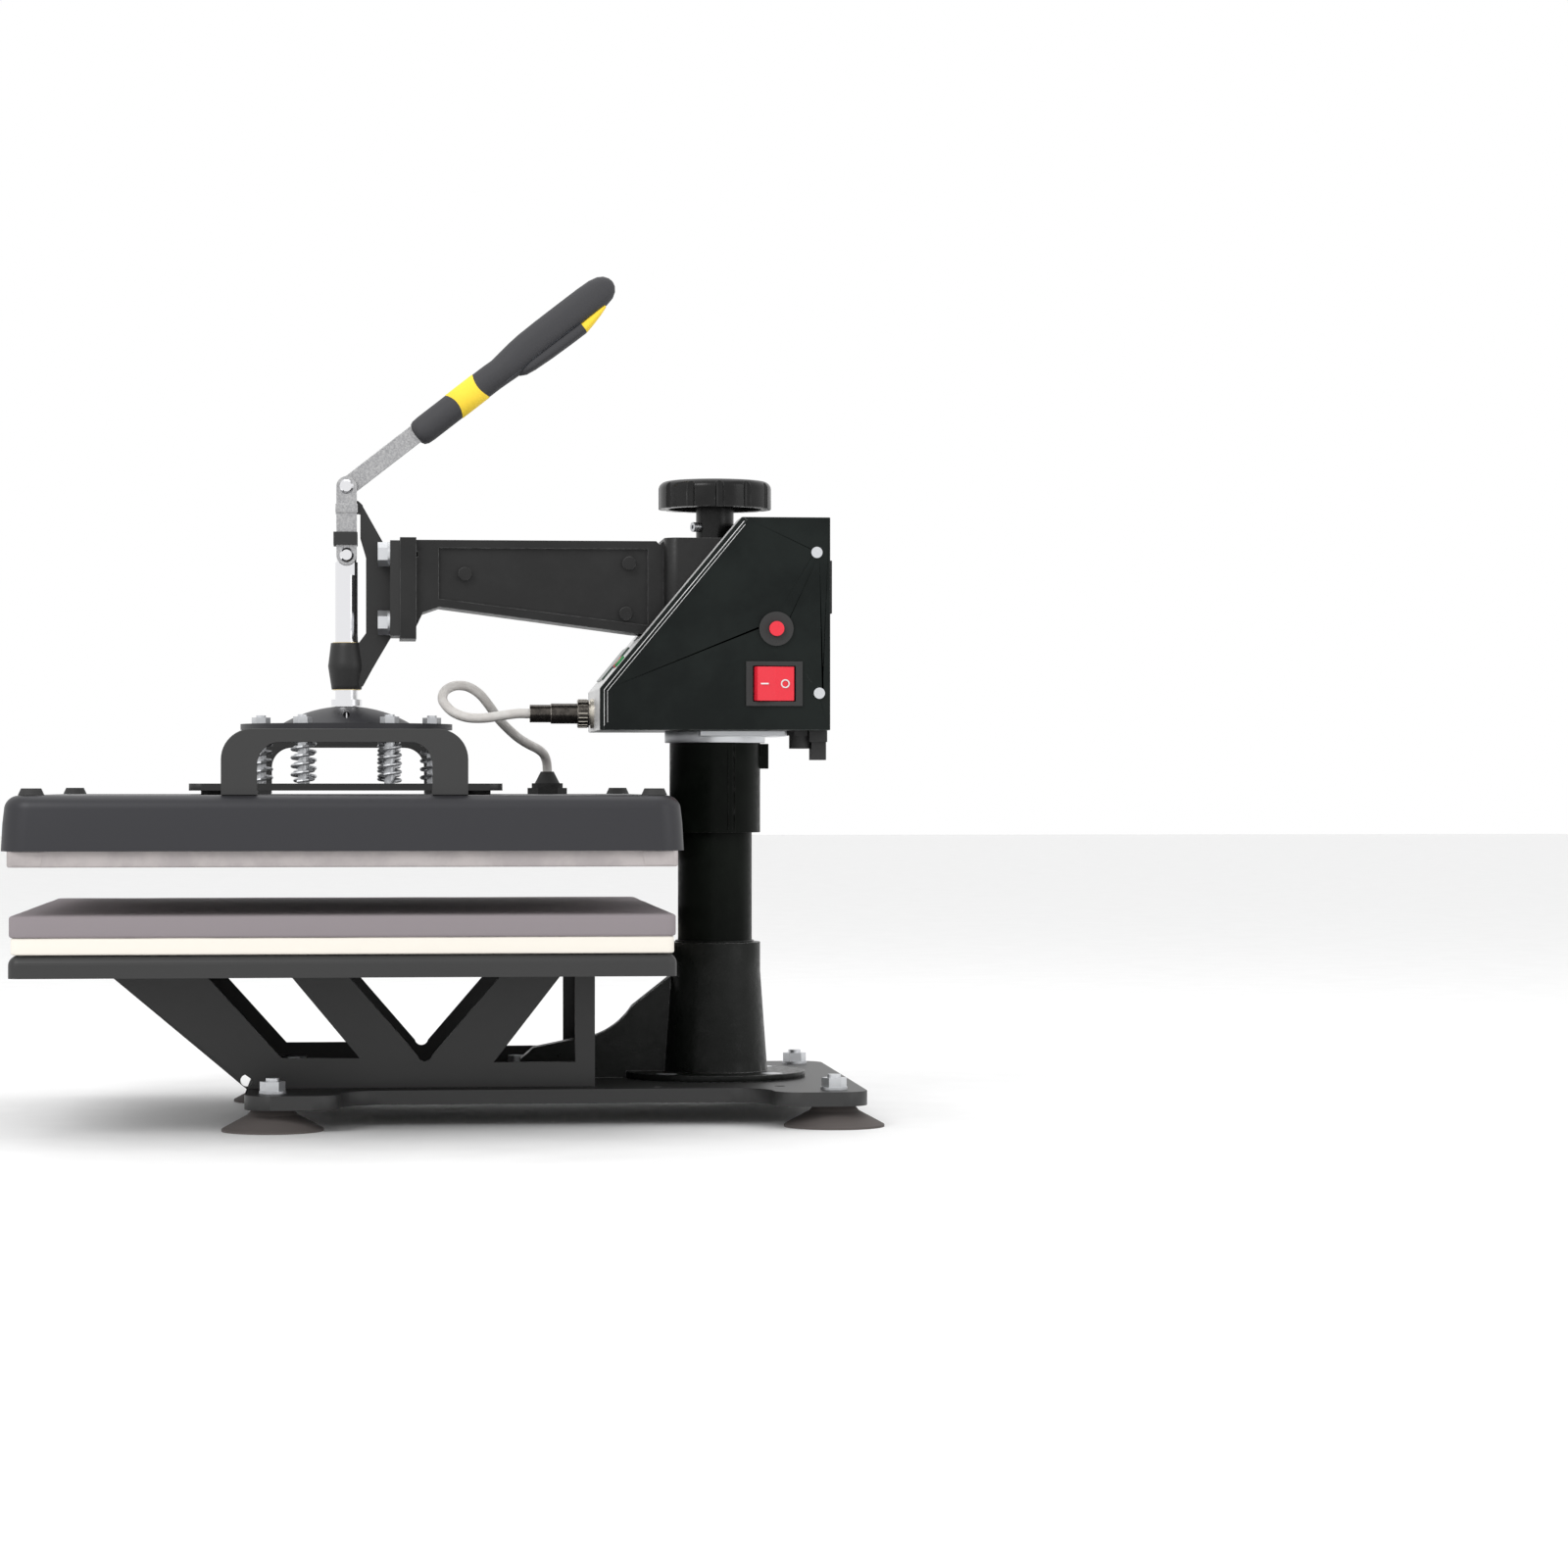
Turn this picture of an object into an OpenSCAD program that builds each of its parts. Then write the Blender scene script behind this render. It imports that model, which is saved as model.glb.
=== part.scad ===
// Swing-away heat press: a heated square platen on an arm that swings round a column,
// pressed down on a padded lower platen by a hand lever and a toggle.
// Origin: centre of the footprint, on the surface that the suction cups stand on.
// +X runs from the operator to the column and +Z is up. All sizes are in millimetres.

/* [Platens] */
// Side of the square heating platen
platen_w = 382; // [320:1:480]
// Thickness of the heating platen
platen_t = 12; // [10:0.5:20]
// How far the platen shows below its cover
platen_show = 9.2; // [5:0.1:9.5]
// Overhang of the cover past the platen on each side
cover_over = 4; // [3.2:0.2:8]
// Height of the heater cover
cover_h = 31.8; // [28:0.2:50]
// Wall of the heater cover
cover_wall = 1.6; // [1:0.1:2.5]
// Radius of the cover's rounded edges
cover_r = 9; // [4:0.5:12]
// Thickness of the lower platen
lower_t = 13.3; // [10:0.1:18]
// Thickness of the felt pad
felt_t = 9.8; // [6:0.2:14]
// Thickness of the silicone pad
silicone_t = 12.5; // [8:0.5:16]
// Open gap between the silicone pad and the heating platen
open_gap = 27.6; // [27.5:0.1:45]

/* [Base and support] */
// Height of the base plate's underside above the table
cup_h = 19; // [17:0.5:28]
// Thickness of the pressed base plate
plate_t = 3; // [2:0.5:5]
// Depth of the base plate's skirt below its underside
skirt_h = 5.6; // [3:0.2:8]
// Half the depth of the base plate across its lobes
base_half = 140; // [126:1:170]
// Half the depth of the base plate at its waist
waist_half = 100; // [96:1:115]
// Distance from the base's front edge to its front studs
front_inset = 16.3; // [14:0.1:30]
// Distance from the base's rear edge to its rear studs
rear_inset = 18.8; // [14:0.1:30]
// How far the base reaches behind the column axis
base_back = 80.5; // [76:0.5:110]
// How far the base reaches in front of the press shaft
base_front = 59; // [40:1:90]
// Half the spacing of the studs across the base
stud_y = 116; // [110:1:125]
// Diameter of a suction cup
cup_d = 60; // [44:1:80]
// Height of the support between the base and the lower platen
support_h = 71.3; // [66:0.1:100]
// Half the outer width of the support channel
support_half = 80; // [70:1:90]
// Thickness of the support's sheet
support_t = 3; // [2:0.5:4]

/* [Column and arm] */
// Outer diameter of the fixed inner column
column_d = 46; // [40:1:50]
// Wall of the inner column
column_wall = 5; // [4:0.5:7]
// Outer diameter of the swinging sleeve
sleeve_d = 56.4; // [54:0.2:62]
// Radial running clearance between the sleeve and the inner column
sleeve_fit = 0.05; // [0.02:0.01:0.1]
// Gap between the heater cover and the sleeve
swing_gap = 4.8; // [4:0.1:20]
// Height of the column socket above the base plate
socket_h = 84; // [70:1:110]
// Height of the swinging head above the heater cover
head_rise = 158; // [150:1:190]
// Half the width of the arm
arm_half = 19; // [15:1:22]
// Diameter of the hand wheel
wheel_d = 70; // [60:1:90]
// Number of grip flutes round the hand wheel
wheel_flutes = 12; // [8:1:16]
// Diameter of the lift screw
lift_d = 12; // [10:1:14]

/* [Press shaft and lever] */
// Diameter of the chromed press shaft
shaft_d = 14; // [12:0.5:15]
// Radial running clearance of the shaft, pins and lift screw
run_fit = 0.05; // [0.02:0.01:0.1]
// Height of the lower toggle pin above the heater cover
pin_rise = 147.4; // [146:0.2:150]
// Distance between the two toggle pins
link_c = 42.2; // [40:0.2:50]
// Throw of the lever's crank, half of the press stroke
crank = 12; // [11:0.1:12.8]
// Angle of the open lever above the horizontal
lever_tilt = 38.1; // [25:0.1:50]
// Distance from the upper toggle pin to the start of the grip
grip_start = 53; // [46:1:80]
// Length of the grip's straight part
grip_straight = 66; // [56:1:90]
// Length of the grip's wider part
grip_wide = 90; // [75:1:110]
// Diameter of the grip's straight part
grip_d = 17.4; // [16:0.2:20]
// Diameter of the toggle pins
pin_d = 6; // [5:0.5:6]
// Length of the pressure springs
spring_l = 33; // [30:0.5:42]
// Outer diameter of a pressure spring
spring_d = 15; // [12:0.5:18]
// Wire diameter of a pressure spring
spring_wire = 2; // [1.5:0.1:2.4]
// Radius of the circle that the springs stand on
spring_circle = 52.4; // [48:0.1:56]
// Radius of the flange above the springs
flange_r = 65; // [62:0.5:80]

/* [Control box] */
// Width of the control box across its covers
box_w = 132; // [120:1:160]
// Sheet thickness of the control box and its covers
box_t = 1.5; // [1:0.1:2]
// Reach of the control box in front of the column axis
box_front = 75.3; // [70:0.1:90]
// Reach of the control box behind the column axis
box_back = 65; // [62:0.5:80]
// Height of the control box
box_h = 129.5; // [125:0.5:150]
// Length of the side switch's bezel
switch_w = 34.6; // [32:0.2:40]
// Height of the side switch's bezel
switch_h = 27.3; // [26:0.1:30]
// Diameter of the heater cord
cord_d = 6; // [5:0.1:8]

/* [Hidden] */
$fn = 64;
hull_fn = 32;
cut = 1;

// Heights, from the table up
base_top = cup_h + plate_t;
lower_z = base_top + support_h;
felt_z = lower_z + lower_t;
silicone_z = felt_z + felt_t;
pad_top = silicone_z + silicone_t;
platen_z = pad_top + open_gap;
cover_z = platen_z + platen_show;
cover_top = cover_z + cover_h;
plate_lift = 2.5;
spring_plate_t = 4.3;
spring_z = cover_top + plate_lift + spring_plate_t;
flange_z = spring_z + spring_l;
flange_t = 3.5;
dome_z = flange_z + flange_t;
dome_r = 40;
dome_h = 11.2;
head_top = cover_top + head_rise;
pin_low_z = cover_top + pin_rise;
pin_up_z = pin_low_z + link_c;
pivot_z = pin_up_z - crank;

// Plan: the column stands behind the press shaft by the reach of the arm
cover_w = platen_w + 2 * cover_over;
column_r = column_d / 2;
sleeve_r = sleeve_d / 2;
reach = cover_w / 2 + swing_gap + sleeve_r;
stud_front = -reach - base_front + front_inset;
stud_back = base_back - rear_inset;
x_low = -reach - cover_w / 2;
x_high = stud_back + cup_d / 2;
col_x = -(x_low + x_high) / 2;
shaft_x = col_x - reach;

// Metric fasteners
m8_r = 4;
m8_hole = 4.25;
m8_af = 13;
m8_head = 5.5;
hex_k = 1 / cos(30);

module at_column(z = 0) { translate([col_x, 0, z]) children(); }
module at_shaft(z = 0) { translate([shaft_x, 0, z]) children(); }
module both_sides() { children(); mirror([0, 1, 0]) children(); }
module four_corners(x, y) { for (sx = [-1, 1], sy = [-1, 1]) translate([sx * x, sy * y, 0]) children(); }
module round_about(count) { for (i = [0 : count - 1]) rotate(i * 360 / count) children(); }

// A plate that stands in the XZ plane, from a drawing whose Y is height
module upright(thick, y = 0) { translate([0, y + thick / 2, 0]) rotate([90, 0, 0])
  linear_extrude(thick) children(); }

// A straight rod along X, Y or a radius
module rod_x(r, l) { rotate([0, 90, 0]) cylinder(r = r, h = l); }
module rod_y(r, l) { rotate([-90, 0, 0]) cylinder(r = r, h = l); }

module tube(r, bore, h) {
  difference() {
    cylinder(r = r, h = h);
    translate([0, 0, -cut]) cylinder(r = bore, h = h + 2 * cut);
  }
}

module hexagon(af, h) { cylinder(r = af / 2 * hex_k, h = h, $fn = 6); }

// A rectangle with round corners, from its low corner to its high corner
module round_rect(low, high, r) {
  translate([low[0] + r, low[1]]) square([high[0] - low[0] - 2 * r, high[1] - low[1]]);
  translate([low[0], low[1] + r]) square([high[0] - low[0], high[1] - low[1] - 2 * r]);
  for (x = [low[0] + r, high[0] - r], y = [low[1] + r, high[1] - r]) translate([x, y]) circle(r);
}

module round_square(w, r) { round_rect([-w / 2, -w / 2], [w / 2, w / 2], r); }

// A slab with round upright corners and a rounded upper rim
module soft_slab(w, h, r) {
  side = w / 2 - r;
  hull() {
    four_corners(side, side) cylinder(r = r, h = h - r, $fn = hull_fn);
    four_corners(side, side) translate([0, 0, h - r]) sphere(r = r, $fn = hull_fn);
  }
}

// Sweeping a round section along points, with the rings kept square to a reference direction
function unit(v) = v / norm(v);
function tangent(p, i) = unit(p[min(i + 1, len(p) - 1)] - p[max(i - 1, 0)]);
function ring(p, i, r, sides, ref) =
  let (t = tangent(p, i), side = unit(cross(t, ref)), up = cross(side, t))
  [for (k = [0 : sides - 1]) p[i] + r * (cos(k * 360 / sides) * side + sin(k * 360 / sides) * up)];
function ring_faces(rings, sides) = [
  for (i = [0 : rings - 2], k = [0 : sides - 1])
    let (a = i * sides, b = (i + 1) * sides, n = (k + 1) % sides)
    each [[a + k, a + n, b + n], [a + k, b + n, b + k]]
];
module sweep(p, r, sides, ref) {
  last = (len(p) - 1) * sides;
  polyhedron(
    points = [for (i = [0 : len(p) - 1]) each ring(p, i, r, sides, ref)],
    faces = concat(
      [[for (k = [sides - 1 : -1 : 0]) k]],
      ring_faces(len(p), sides),
      [[for (k = [0 : sides - 1]) last + k]]
    )
  );
}

// ---------------------------------------------------------------- base and support

bench_x = [-40, 32];
bench_y = 87;
bench_hole = 3.5;
socket_flange_r = 56;
socket_bolt_r = 46;
support_front = -reach - base_front;
support_rear = -79;
support_lip = 30;
support_bolt_x = [support_front + 26, support_rear - 40];
support_bolt_y = support_half - 16;
lobe_r = 16;
bar_w = 56;
waist_r = 34;

// The base's outline, drawn in by an inset for the inside of the skirt
module base_outline(inset) {
  front = -reach - base_front + inset;
  back = base_back - inset;
  bar = bar_w - 2 * inset;
  half = base_half - inset;
  waist = waist_half - inset;
  fillet = waist_r + inset;
  round_rect([front, -half], [front + bar, half], lobe_r - inset);
  round_rect([back - bar, -half], [back, half], lobe_r - inset);
  translate([front + bar / 2, -waist]) square([back - front - bar, 2 * waist]);
  for (sy = [-1, 1]) scale([1, sy]) {
    translate([front + bar, waist]) waist_fillet(fillet, half - waist - lobe_r);
    translate([back - bar, waist]) mirror([1, 0]) waist_fillet(fillet, half - waist - lobe_r);
  }
}

// The hollow round where a lobe runs into the waist
module waist_fillet(r, room) {
  size = min(r, room);
  translate([-cut, -cut]) difference() {
    square(size + cut);
    translate([size + cut, size + cut]) circle(size);
  }
}

module base_plate() {
  color([0.13, 0.13, 0.14]) at_column() difference() {
    translate([0, 0, cup_h - skirt_h]) linear_extrude(skirt_h + plate_t) base_outline(0);
    translate([0, 0, cup_h - skirt_h - cut]) linear_extrude(skirt_h + cut) base_outline(plate_t);
    for (x = [stud_front, stud_back], y = [-stud_y, stud_y]) translate([x, y, 0])
      cylinder(r = m8_hole, h = base_top + cut);
    for (x = bench_x, y = [-bench_y, bench_y]) translate([x, y, 0])
      cylinder(r = bench_hole, h = base_top + cut);
    rotate(45) round_about(4) translate([socket_bolt_r, 0, 0]) cylinder(r = m8_hole, h = base_top + cut);
    for (x = support_bolt_x, y = [-support_bolt_y, support_bolt_y]) translate([x, y, 0])
      cylinder(r = m8_hole, h = base_top + cut);
  }
}

cup_neck_r = 12;
cup_lip_t = 1.4;
cup_hollow = 5;
cup_socket_z = 9;

module suction_cup() {
  r = cup_d / 2;
  difference() {
    rotate_extrude() polygon([
      [0, 0], [r, 0], [r, cup_lip_t], [r * 0.78, 5], [r * 0.5, 9.5],
      [cup_neck_r, 13], [cup_neck_r, cup_h], [0, cup_h]
    ]);
    translate([0, 0, -cut]) cylinder(r1 = r * 0.8 + cut, r2 = r * 0.36, h = cup_hollow + cut);
    translate([0, 0, cup_socket_z]) cylinder(r = m8_r, h = cup_h);
  }
}

module suction_cups() {
  color([0.23, 0.2, 0.19]) at_column()
    for (x = [stud_front, stud_back], y = [-stud_y, stud_y]) translate([x, y, 0]) suction_cup();
}

stud_top = 9;
washer_r = 8;
washer_t = 1.5;

// A washer and a nut round a stud that comes up through the plate
module stud_and_nut() {
  translate([0, 0, cup_socket_z]) cylinder(r = m8_r, h = base_top + stud_top - cup_socket_z);
  translate([0, 0, base_top]) cylinder(r = washer_r, h = washer_t);
  translate([0, 0, base_top + washer_t]) hexagon(m8_af, m8_head);
}

module hex_bolt(seat_z, tip_z) {
  translate([0, 0, seat_z]) cylinder(r = washer_r, h = washer_t);
  translate([0, 0, seat_z + washer_t]) hexagon(m8_af, m8_head);
  translate([0, 0, tip_z]) cylinder(r = m8_r, h = seat_z - tip_z + washer_t);
}

flush_head_r = 6.5;
flush_head_t = 2.4;
flush_gap = 0.3;

// Flat screw whose head lies level with the face it holds
module flush_screw(top_z, tip_z) {
  translate([0, 0, top_z - flush_head_t]) cylinder(r = flush_head_r, h = flush_head_t);
  translate([0, 0, tip_z]) cylinder(r = m8_r, h = top_z - tip_z);
}

module base_fasteners() {
  color([0.75, 0.76, 0.78]) at_column() {
    for (x = [stud_front, stud_back], y = [-stud_y, stud_y]) translate([x, y, 0]) stud_and_nut();
    rotate(45) round_about(4) translate([socket_bolt_r, 0, 0])
      flush_screw(base_top + socket_flange_t, cup_h - 3);
    for (x = support_bolt_x, y = [-support_bolt_y, support_bolt_y]) translate([x, y, 0])
      hex_bolt(base_top + support_t, cup_h - 3);
  }
}

socket_flange_t = 4;
socket_foot_r = 33;
socket_taper_h = 66;
gusset_t = 14;
gusset_toe = 121;
gusset_h = 55;
gusset_toe_h = 19;
gusset_arc = 44;

// The front rib: a hollow round down from the tube, then a flat toe
module gusset_shape() {
  difference() {
    polygon([
      [-sleeve_r, base_top], [-sleeve_r, base_top + gusset_h + 8],
      [-gusset_toe + 47, base_top + gusset_toe_h + 8],
      [-gusset_toe + 8, base_top + gusset_toe_h], [-gusset_toe, base_top + gusset_toe_h - 7],
      [-gusset_toe, base_top]
    ]);
    translate([-gusset_toe + 32, base_top + gusset_toe_h + gusset_arc + 5]) circle(gusset_arc);
  }
}

module column_socket() {
  color([0.12, 0.12, 0.13]) at_column() difference() {
    union() {
      translate([0, 0, base_top]) cylinder(r = socket_flange_r, h = socket_flange_t);
      translate([0, 0, base_top]) cylinder(r1 = socket_foot_r, r2 = sleeve_r, h = socket_taper_h);
      translate([0, 0, base_top]) cylinder(r = sleeve_r, h = socket_h);
      upright(gusset_t) gusset_shape();
    }
    translate([0, 0, base_top - cut]) cylinder(r = column_r, h = socket_h + 2 * cut);
    rotate(45) round_about(4) translate([socket_bolt_r, 0, base_top - cut]) {
      cylinder(r = m8_hole, h = socket_flange_t + 2 * cut);
      translate([0, 0, socket_flange_t - flush_head_t + cut])
        cylinder(r = flush_head_r + flush_gap, h = flush_head_t + cut);
    }
  }
}

nut_depth = 30;
nut_lip = 4;
column_top = head_top - 119.5;

module inner_column() {
  color([0.11, 0.11, 0.12]) at_column(base_top)
    tube(column_r, column_r - column_wall, column_top - base_top);
}

module lift_nut() {
  color([0.7, 0.55, 0.25]) at_column() difference() {
    union() {
      translate([0, 0, column_top - nut_depth]) cylinder(r = column_r - column_wall, h = nut_depth);
      translate([0, 0, column_top]) cylinder(r = column_r - 1, h = nut_lip);
    }
    translate([0, 0, column_top - nut_depth - cut])
      cylinder(r = lift_d / 2 + run_fit, h = nut_depth + nut_lip + 2 * cut);
  }
}

support_top_front = -reach - platen_w / 2 + 47.6;
rib = 5;
foot = 15;

// One slanted side of a window, at height z, for a line between two corners
function lean(a, b, z) = a[0] + (b[0] - a[0]) * (z - a[1]) / (b[1] - a[1]);

// The three windows of a side plate: a slanted one, a V and a triangle
window_top = lower_z - rib;
window_low = base_top + foot + 3;
front_top = [support_top_front + 61.8, window_top];
front_low = [support_front + 20.7, window_low];
v_tip = [-181, base_top + foot + 4];
v_half = 44.8;
v_round = 4;
rear_top = [-100, window_top];
rear_low = [-139.7, base_top + foot];
window_rear = support_rear - 11.9;

module support_windows() {
  polygon([front_top, front_top + [49.6, 0], front_low + [46.3, 0], front_low]);
  polygon([
    [v_tip[0] - v_half, window_top], [v_tip[0] + v_half, window_top],
    v_tip + [v_round, 0], v_tip - [v_round, 0]
  ]);
  translate(v_tip + [0, 1]) circle(v_round + 0.2);
  polygon([rear_top, [window_rear, window_top], [window_rear, rear_low[1]], rear_low]);
}

module support_side() {
  difference() {
    polygon([
      [support_top_front, lower_z], [support_rear, lower_z],
      [support_rear, base_top], [support_front, base_top]
    ]);
    support_windows();
    translate([support_front, base_top + 5]) circle(3.6);
  }
}

module platen_support() {
  slab = support_half * 2;
  color([0.1, 0.1, 0.11]) at_column() difference() {
    union() {
      both_sides() {
        upright(support_t, -support_half + support_t / 2) support_side();
        translate([support_front + 12, -support_half, base_top])
          cube([support_rear - support_front - 12, support_lip, support_t]);
        translate([support_top_front + 6, -support_half, lower_z - support_t])
          cube([support_rear - support_top_front - 6, support_lip, support_t]);
        translate([support_rear - support_t, -support_half, base_top]) cube([support_t, 20, support_h]);
      }
      upright(slab) polygon([
        [support_top_front, lower_z], [support_top_front + 5, lower_z],
        [support_front + 9, base_top + 5], [support_front + 4, base_top + 5]
      ]);
    }
    for (x = support_bolt_x, y = [-support_bolt_y, support_bolt_y]) translate([x, y, 0])
      cylinder(r = m8_hole, h = base_top + support_t + cut);
  }
}

module lower_platen() {
  color([0.1, 0.1, 0.1]) at_shaft(lower_z) soft_slab(platen_w - 1, lower_t, 6);
}

module felt_pad() {
  color([0.85, 0.82, 0.77]) at_shaft(felt_z) linear_extrude(felt_t) round_square(platen_w - 4, 5);
}

module silicone_pad() {
  color([0.44, 0.4, 0.42]) at_shaft(silicone_z) linear_extrude(silicone_t) round_square(platen_w - 2, 4);
}

// ---------------------------------------------------------------- lift, wheel and head

collar_r = 14;
collar_t = 4.5;
collar_fit = 0.1;
hub_gap = 0.5;
hub_r = 11.75;
hub_h = 18.8;
rim_h = 17.2;
rim_round = 5;
set_screw_h = 7.5;
set_screw_out = 16;
set_screw_turn = 205;

module thrust_collar() {
  color([0.72, 0.72, 0.7]) at_column(head_top - collar_t) tube(collar_r, lift_d / 2 + run_fit, collar_t);
}

module hand_wheel() {
  r = wheel_d / 2;
  rim_z = head_top + hub_gap + hub_h;
  color([0.09, 0.09, 0.09]) at_column() difference() {
    union() {
      translate([0, 0, head_top + hub_gap]) cylinder(r = hub_r, h = hub_h + 4);
      translate([0, 0, rim_z]) rotate_extrude() {
        square([r - rim_round, rim_h]);
        square([r, rim_h - rim_round]);
        translate([r - rim_round, rim_h - rim_round]) circle(rim_round);
      }
    }
    translate([0, 0, rim_z - cut]) difference() {
      cylinder(r = r - 6, h = 6);
      translate([0, 0, -cut]) cylinder(r = hub_r, h = 8);
    }
    round_about(wheel_flutes) translate([r + 1.6, 0, rim_z - cut]) cylinder(r = 3.2, h = rim_h + 2 * cut);
    translate([0, 0, head_top]) cylinder(r = lift_d / 2, h = hub_h - 1);
    translate([0, 0, head_top + hub_gap + set_screw_h]) rotate(set_screw_turn) rod_x(3, set_screw_out);
  }
}

screw_low = column_top - nut_depth - 22;

module lift_screw() {
  color([0.6, 0.6, 0.62]) at_column(screw_low)
    cylinder(r = lift_d / 2, h = head_top + hub_h - 1 - screw_low);
}

module wheel_set_screw() {
  color([0.8, 0.8, 0.82]) at_column(head_top + hub_gap + set_screw_h) rotate(set_screw_turn) difference() {
    translate([lift_d / 2 + 0.1, 0, 0]) rod_x(3, set_screw_out - lift_d / 2 - 0.1);
    translate([set_screw_out - 2, 0, 0]) rotate([0, 90, 0]) hexagon(2.5, 3);
  }
}

sleeve_low = platen_z + 17.5;
cap_t = 12;
block_half = 31.5;
block_front = 33.3;
block_h = 59.5;
arm_top = head_top - 1.6;
seat_x = 32.6;
flange_half = 25;
flange_x = 10;
flange_mid = head_top - 31.5;
flange_up = 31.1;

sleeve_tab = 8;
tab_h = 15.5;
tab_gap = 0.5;

module swing_sleeve() {
  tab_low = box_low - bracket_plate_t - bracket_ring_h - tab_gap - tab_h;
  color([0.12, 0.12, 0.13]) at_column() difference() {
    union() {
      translate([0, 0, sleeve_low]) cylinder(r = sleeve_r, h = head_top - cap_t - sleeve_low);
      translate([sleeve_r - 2, -sleeve_tab / 2, tab_low]) cube([sleeve_tab - 1, sleeve_tab, tab_h]);
    }
    translate([0, 0, sleeve_low - cut]) cylinder(r = column_r + sleeve_fit, h = head_top);
    rotate(-70) translate([sleeve_r - 0.7, -0.5, sleeve_low - cut]) cube([2, 1, 62]);
  }
}

// Side view of the arm, from the front flange to the head block
arm_x = -reach + seat_x + flange_x;
arm_rise = 41.1;
arm_fall = 57;

module arm_side() {
  difference() {
    polygon([
      [arm_x - cut, arm_top], [-block_front + cut, arm_top], [-block_front + cut, arm_top - arm_fall - 1],
      [-block_front - 18, arm_top - arm_fall], [arm_x + 14, arm_top - arm_rise],
      [arm_x + 4, arm_top - arm_rise - 3.5], [arm_x - cut, arm_top - arm_rise - 14]
    ]);
    translate([-block_front - 2.4, arm_top + 1]) rotate(45) square(4.5, center = true);
  }
}

module arm_pocket() {
  polygon([
    [arm_x + 13.7, arm_top - 5], [-block_front - 9.8, arm_top - 5],
    [-block_front - 9.8, arm_top - arm_fall + 5], [arm_x + 13.7, arm_top - arm_rise + 5]
  ]);
}

module press_arm() {
  pocket = 3;
  color([0.12, 0.12, 0.13]) at_column() difference() {
    union() {
      upright(2 * arm_half) arm_side();
      translate([-reach + seat_x, -flange_half, flange_mid - flange_up])
        cube([flange_x, 2 * flange_half, 2 * flange_up]);
      translate([0, 0, head_top - block_h]) linear_extrude(block_h)
        round_rect([-block_front, -block_half], [block_front, block_half], 8);
    }
    both_sides() upright(pocket, -arm_half + pocket / 2) arm_pocket();
    translate([0, 0, head_top - block_h - cut]) cylinder(r = sleeve_r, h = block_h - cap_t + cut);
    translate([0, 0, head_top - cap_t - cut]) cylinder(r = lift_d / 2 + 0.6, h = cap_t + 2 * cut);
    translate([0, 0, head_top - collar_t - 0.3]) cylinder(r = collar_r + collar_fit, h = collar_t + cut);
    bracket_holes();
  }
}

bolt_y = 15;
bolt_z = 21;
bracket_t = 6;
bracket_half = 24.5;

module bracket_holes() {
  for (y = [-bolt_y, bolt_y], z = [-bolt_z, bolt_z])
    translate([-reach + seat_x - bracket_t - cut, y, flange_mid + z])
      rod_x(m8_hole, bracket_t + flange_x + 2 * cut);
}

// The fixed bracket in front of the arm: a guide barrel, a web and two ears for the lever
web_half = 6.4;
ear_gap = 3.4;
barrel_z = cover_top + 64.8;
barrel_h = 28.6;
barrel_r = 10.6;
fin_low = pin_low_z + 10.8;
fin_x = 8.4;
web_x = 11.9;
boss_r = 5.6;

module web_side() {
  z = flange_mid;
  polygon([
    [7.5, barrel_z + 2], [10, barrel_z + 2], [16, barrel_z + 13], [23, barrel_z + 25],
    [seat_x - bracket_t + 1, z - 29], [seat_x - bracket_t + 1, z + 29], [22.3, z + 29],
    [10.4, pivot_z - 0.9], [fin_x, pivot_z - 1.5], [fin_x, fin_low], [web_x, fin_low - 12],
    [web_x, barrel_z + barrel_h + 6], [7.5, barrel_z + barrel_h]
  ]);
}

module ear_side() {
  translate([0, pivot_z]) circle(boss_r);
  polygon([
    [0, pivot_z - 3], [fin_x, pivot_z - 4.5], [fin_x + 2.4, pivot_z - 3],
    [fin_x + 1.5, pivot_z + 0.6], [fin_x - 1, pivot_z + 3], [0, pivot_z + boss_r]
  ]);
}

module lever_bracket() {
  color([0.07, 0.07, 0.07]) translate([shaft_x, 0, 0]) difference() {
    union() {
      translate([0, 0, barrel_z]) cylinder(r1 = 9.2, r2 = barrel_r + 0.8, h = barrel_h / 2);
      translate([0, 0, barrel_z + barrel_h / 2]) cylinder(r1 = barrel_r + 0.8, r2 = 9.7, h = barrel_h / 2);
      upright(2 * web_half) web_side();
      upright(2 * web_half) ear_side();
      translate([seat_x - bracket_t, -bracket_half, flange_mid - 29.2])
        cube([bracket_t, 2 * bracket_half, 58.4]);
    }
    translate([0, 0, barrel_z - cut]) cylinder(r = shaft_d / 2 + 1.6, h = barrel_h + 2 * cut);
    translate([-2 * boss_r, -ear_gap, fin_low + 1]) cube([2 * boss_r + fin_x, 2 * ear_gap, 60]);
    translate([0, -2 * web_half, pivot_z]) rod_y(pin_d / 2, 4 * web_half);
    translate([reach, 0, 0]) bracket_holes();
  }
}

module bracket_bolts() {
  color([0.8, 0.8, 0.82]) for (y = [-bolt_y, bolt_y], z = [-bolt_z, bolt_z])
    translate([shaft_x + seat_x - bracket_t, y, flange_mid + z]) rotate([0, -90, 0]) {
      cylinder(r = washer_r - 0.4, h = washer_t);
      translate([0, 0, washer_t]) hexagon(m8_af, m8_head + 0.5);
      translate([0, 0, -bracket_t - flange_x]) cylinder(r = m8_r, h = bracket_t + flange_x + 1);
    }
}

module guide_bush() {
  color([0.72, 0.58, 0.3]) at_shaft(barrel_z - 0.4)
    tube(shaft_d / 2 + 1.6, shaft_d / 2 + run_fit, barrel_h + 0.8);
}

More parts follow.
